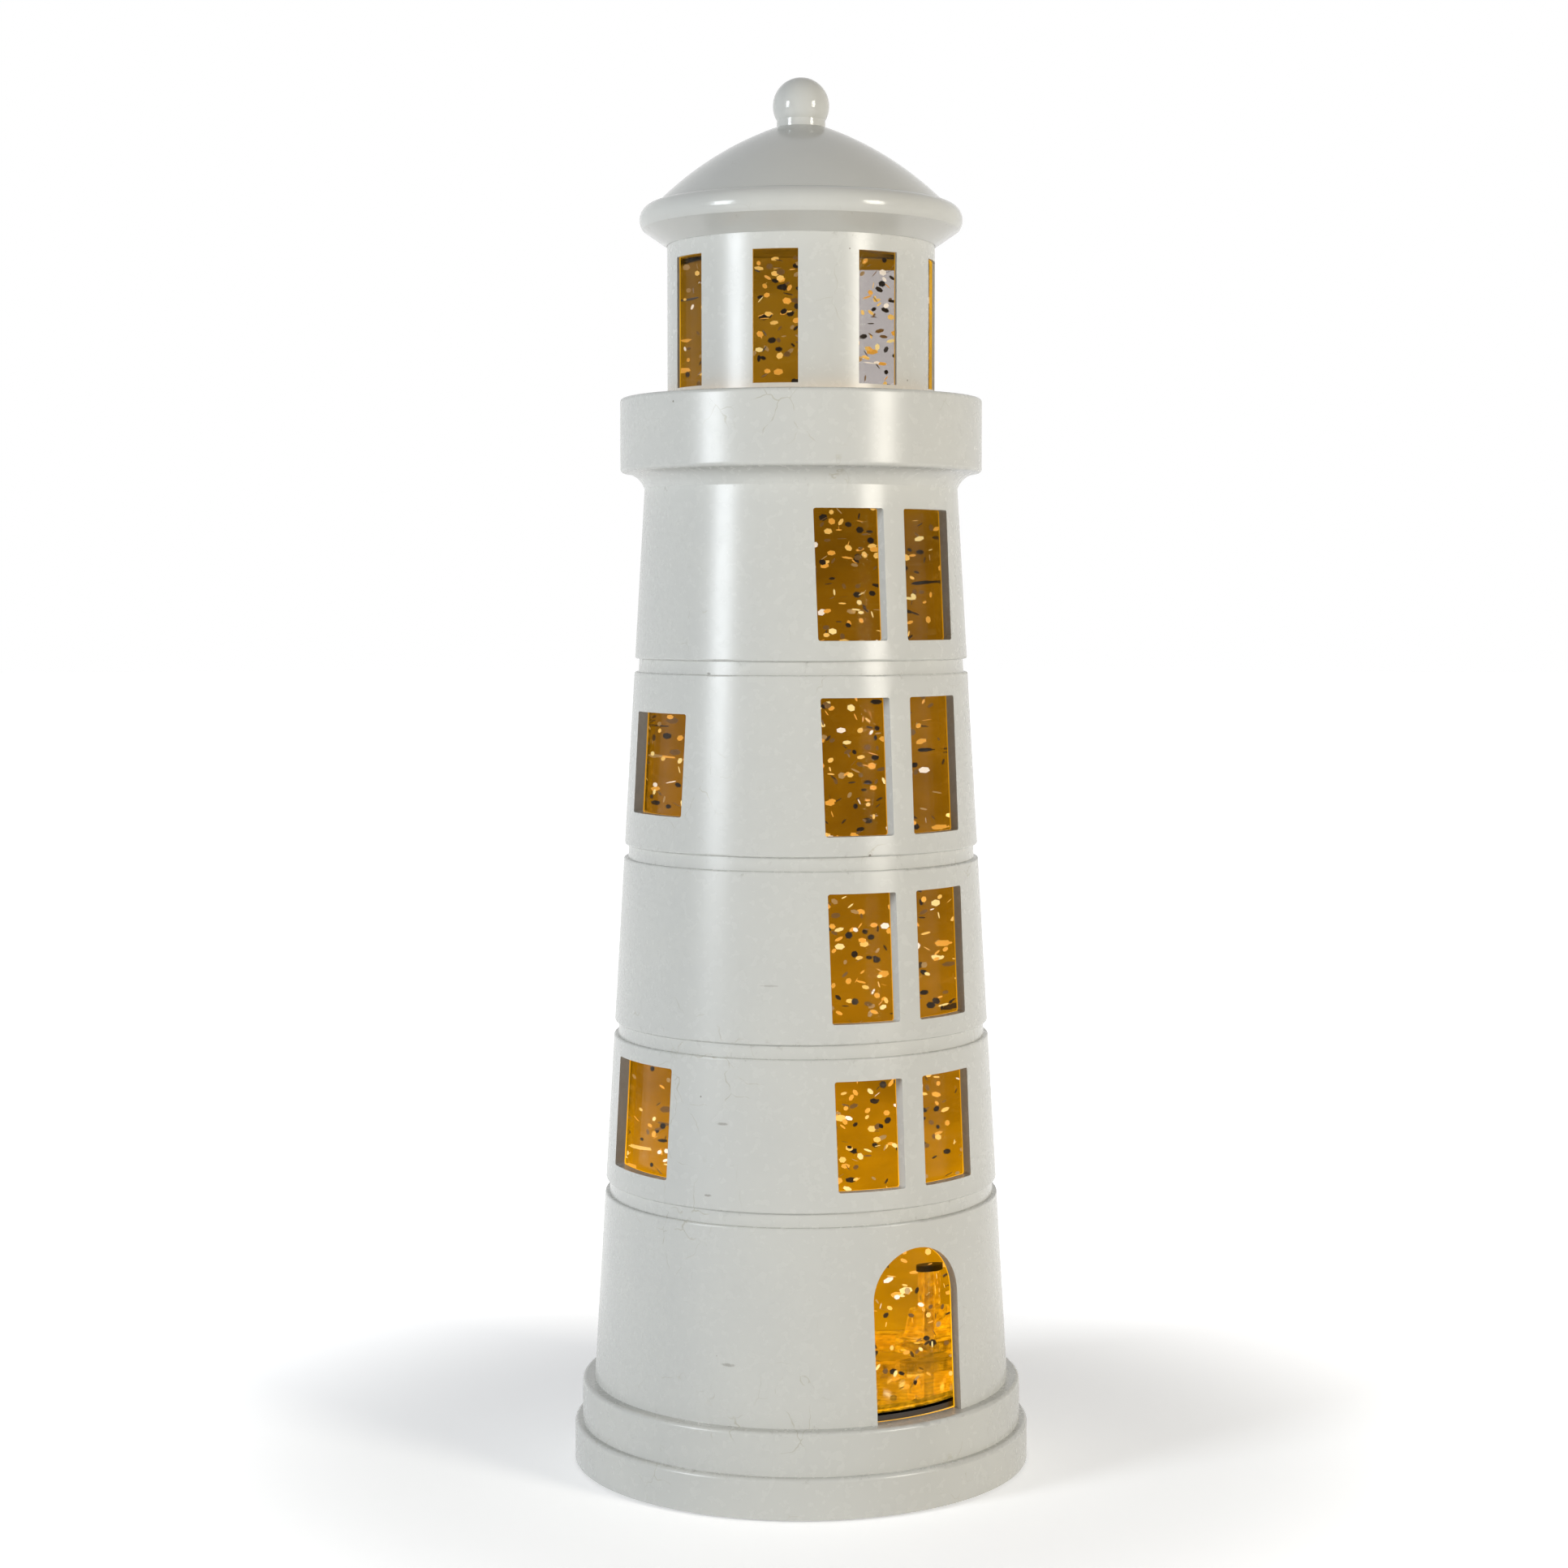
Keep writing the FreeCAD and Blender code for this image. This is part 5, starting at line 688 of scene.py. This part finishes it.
def add_liquid():
    """The liquid: one clear body that wets the vessel's wall and surrounds the impeller."""
    low = VESSEL_FLOOR_TOP - LIQUID_OVERLAP
    # Rings close to each edge keep the smooth shading of the long faces true
    levels = [low, low + LIQUID_END_EDGE]
    for edge in (VESSEL_SHOULDER, VESSEL_NECK_LOW):
        levels += [edge - LIQUID_EDGE, edge + LIQUID_EDGE]
    levels.append(VESSEL_NECK_HIGH - LIQUID_END_EDGE)
    profile = [(vessel_inside(level) + LIQUID_OVERLAP, level) for level in levels]
    bend = VESSEL_DOME_ROUND - VESSEL_WALL
    for angle in range(0, 91, LIQUID_DOME_STEP):
        turned = math.radians(angle)
        profile.append((vessel_inside(VESSEL_NECK_HIGH) - bend + (bend + LIQUID_OVERLAP) * math.cos(turned),
                        VESSEL_NECK_HIGH + (bend + LIQUID_OVERLAP) * math.sin(turned)))
    points, faces = [(0, 0, low)], []
    for reach, level in profile:
        for index in range(LIQUID_SEGMENTS):
            angle = 2 * math.pi * index / LIQUID_SEGMENTS
            points.append((reach * math.cos(angle), reach * math.sin(angle), level))
    points.append((0, 0, profile[-1][1]))
    top = len(points) - 1
    last = 1 + (len(profile) - 1) * LIQUID_SEGMENTS
    for index in range(LIQUID_SEGMENTS):
        following = (index + 1) % LIQUID_SEGMENTS
        faces.append((0, 1 + following, 1 + index))
        faces.append((top, last + index, last + following))
        for row in range(len(profile) - 1):
            lower = 1 + row * LIQUID_SEGMENTS
            upper = lower + LIQUID_SEGMENTS
            faces.append((lower + index, lower + following, upper + following, upper + index))
    graph = clear("glitter_liquid", LIQUID_COLOUR, LIQUID_INDEX, 0.0)
    liquid = new_piece("swirling_liquid", points, faces, graph)
    for polygon in liquid.data.polygons:
        polygon.use_smooth = len(polygon.vertices) == 4
    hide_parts("glitter_fluid")


def flake_place(dice):
    """A random place in the liquid, away from the wall and the impeller."""
    low, high = VESSEL_FLOOR_TOP + FLAKE_MARGIN, VESSEL_CEILING - FLAKE_MARGIN
    while True:
        level = low + (high - low) * dice.random() ** FLAKE_SETTLING
        reach = (vessel_inside(level) - FLAKE_MARGIN) * math.sqrt(dice.random())
        angle = dice.uniform(0, 2 * math.pi)
        place = Vector((reach * math.cos(angle), reach * math.sin(angle), level))
        beside = math.hypot(place.x - IMPELLER_X, place.y) > IMPELLER_REACH
        if beside or level > IMPELLER_CLEAR_LEVEL:
            return place


def add_glitter():
    """Hexagonal foil flakes, tumbling in the liquid."""
    dice = random.Random(FLAKE_SEED)
    points, faces, foils = [], [], []
    for _ in range(FLAKE_COUNT):
        place = flake_place(dice)
        normal = Vector((dice.gauss(0, 1), dice.gauss(0, 1), dice.gauss(0, 1))).normalized()
        side = normal.orthogonal().normalized()
        other = normal.cross(side)
        size = dice.uniform(*FLAKE_RADII)
        foil = dice.random()
        first = len(points)
        for half in (-1, 1):
            for corner in range(FLAKE_CORNERS):
                angle = 2 * math.pi * corner / FLAKE_CORNERS
                rim = side * math.cos(angle) + other * math.sin(angle)
                points.append(place + rim * size + normal * half * FLAKE_THICKNESS / 2)
        upper = first + FLAKE_CORNERS
        faces.append(tuple(first + corner for corner in reversed(range(FLAKE_CORNERS))))
        faces.append(tuple(upper + corner for corner in range(FLAKE_CORNERS)))
        for corner in range(FLAKE_CORNERS):
            following = (corner + 1) % FLAKE_CORNERS
            faces.append((first + corner, first + following, upper + following, upper + corner))
        foils += [foil] * (2 + FLAKE_CORNERS)
    flakes = new_piece("glitter_flakes", points, faces, glitter_paint())
    attribute = flakes.data.attributes.new("foil", "FLOAT", "FACE")
    attribute.data.foreach_set("value", foils)


# ---------------------------------------------------------------------------
# Studio
# ---------------------------------------------------------------------------

# Lights: name, angle from the camera's side, colour
LAMPS = [
    ("left_light", -56, (0.90, 0.95, 1.0)),
    ("right_light", 52, (1.0, 0.95, 0.85)),
]
LAMP_SIZE = (0.30, 0.45)
LAMP_DISTANCE = 1.25
LAMP_RISE = 11
LAMP_POWER = 9.5
WORLD_LIGHT = [(0.0, (0.46, 0.465, 0.475)), (0.30, (0.16, 0.16, 0.164)), (1.0, (0.01, 0.01, 0.01))]
FLOOR_REACH = 8.0
FLOOR_SEGMENTS = 64
FLOOR_LEVEL = -0.0002
FLOOR_FADE = (90.0, 260.0)
FLOOR_GLOW = (0.42, 1.0)


def add_lamp(name, side_angle, colour):
    """A soft light, placed by its angle from the camera's side of the object."""
    data = bpy.data.lights.new(name, "AREA")
    data.shape = "RECTANGLE"
    data.size, data.size_y = LAMP_SIZE
    data.energy = LAMP_POWER
    data.color = colour
    light = bpy.data.objects.new(name, data)
    turned = math.radians(side_angle)
    level = -AHEAD * math.cos(turned) + RIGHT * math.sin(turned)
    aim = Vector((0, 0, 0.5 * ROOF_TOP * MM))
    rise = math.radians(LAMP_RISE)
    light.location = aim + (level * math.cos(rise) + Vector((0, 0, math.sin(rise)))) * LAMP_DISTANCE
    light.rotation_euler = (light.location - aim).to_track_quat("Z", "Y").to_euler()
    bpy.context.scene.collection.objects.link(light)


def seen_directly(tree):
    """1 for a ray from the camera, or one that glossy or clear surfaces pass on."""
    path = tree.nodes.new("ShaderNodeLightPath")
    total = path.outputs["Is Camera Ray"]
    for name in ("Is Glossy Ray", "Is Transmission Ray"):
        node = tree.nodes.new("ShaderNodeMath")
        node.operation = "MAXIMUM"
        tree.links.new(total, node.inputs[0])
        tree.links.new(path.outputs[name], node.inputs[1])
        total = node.outputs[0]
    return total


def set_world():
    """Soft light from all round, stronger near the horizon; white where it is seen."""
    world = bpy.data.worlds.new("studio")
    bpy.context.scene.world = world
    world.use_nodes = True
    tree = world.node_tree
    tree.nodes.clear()
    coordinates = tree.nodes.new("ShaderNodeTexCoord")
    split = tree.nodes.new("ShaderNodeSeparateXYZ")
    tree.links.new(coordinates.outputs["Generated"], split.inputs[0])
    ramp = tree.nodes.new("ShaderNodeValToRGB")
    tree.links.new(split.outputs["Z"], ramp.inputs[0])
    stops = ramp.color_ramp.elements
    stops.new(0.30)
    for stop, (place, colour) in zip(stops, WORLD_LIGHT):
        stop.position = place
        stop.color = (*colour, 1)
    soft = tree.nodes.new("ShaderNodeBackground")
    tree.links.new(ramp.outputs[0], soft.inputs["Color"])
    white = tree.nodes.new("ShaderNodeBackground")
    white.inputs["Color"].default_value = (1, 1, 1, 1)
    mix = tree.nodes.new("ShaderNodeMixShader")
    tree.links.new(seen_directly(tree), mix.inputs[0])
    tree.links.new(soft.outputs[0], mix.inputs[1])
    tree.links.new(white.outputs[0], mix.inputs[2])
    output = tree.nodes.new("ShaderNodeOutputWorld")
    tree.links.new(mix.outputs[0], output.inputs["Surface"])


def add_floor():
    """A pale floor that fades to the white background and keeps the soft shadow."""
    points = []
    for index in range(FLOOR_SEGMENTS):
        angle = 2 * math.pi * index / FLOOR_SEGMENTS
        points.append((FLOOR_REACH * math.cos(angle), FLOOR_REACH * math.sin(angle), 0))
    mesh = bpy.data.meshes.new("floor")
    mesh.from_pydata(points, [], [tuple(range(FLOOR_SEGMENTS))])
    floor = bpy.data.objects.new("floor", mesh)
    floor.location.z = FLOOR_LEVEL
    bpy.context.scene.collection.objects.link(floor)
    graph = Graph("floor_white")
    seen = seen_directly(graph.tree)
    fade = graph.ease(graph.radius(), *FLOOR_FADE, *FLOOR_GLOW)
    graph.set(
        base_color=(0.90, 0.90, 0.90),
        roughness=0.9,
        emission_color=(1, 1, 1),
        emission_strength=graph.math("MULTIPLY", seen, fade),
    )
    mesh.materials.append(graph.material)


def main():
    bpy.context.scene.view_settings.view_transform = "Standard"
    make_materials()
    sharpen(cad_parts["liquid_vessel"], VESSEL_EDGE_ANGLE)
    add_liquid()
    add_glitter()
    add_floor()
    set_world()
    for lamp in LAMPS:
        add_lamp(*lamp)
    add_camera()


main()
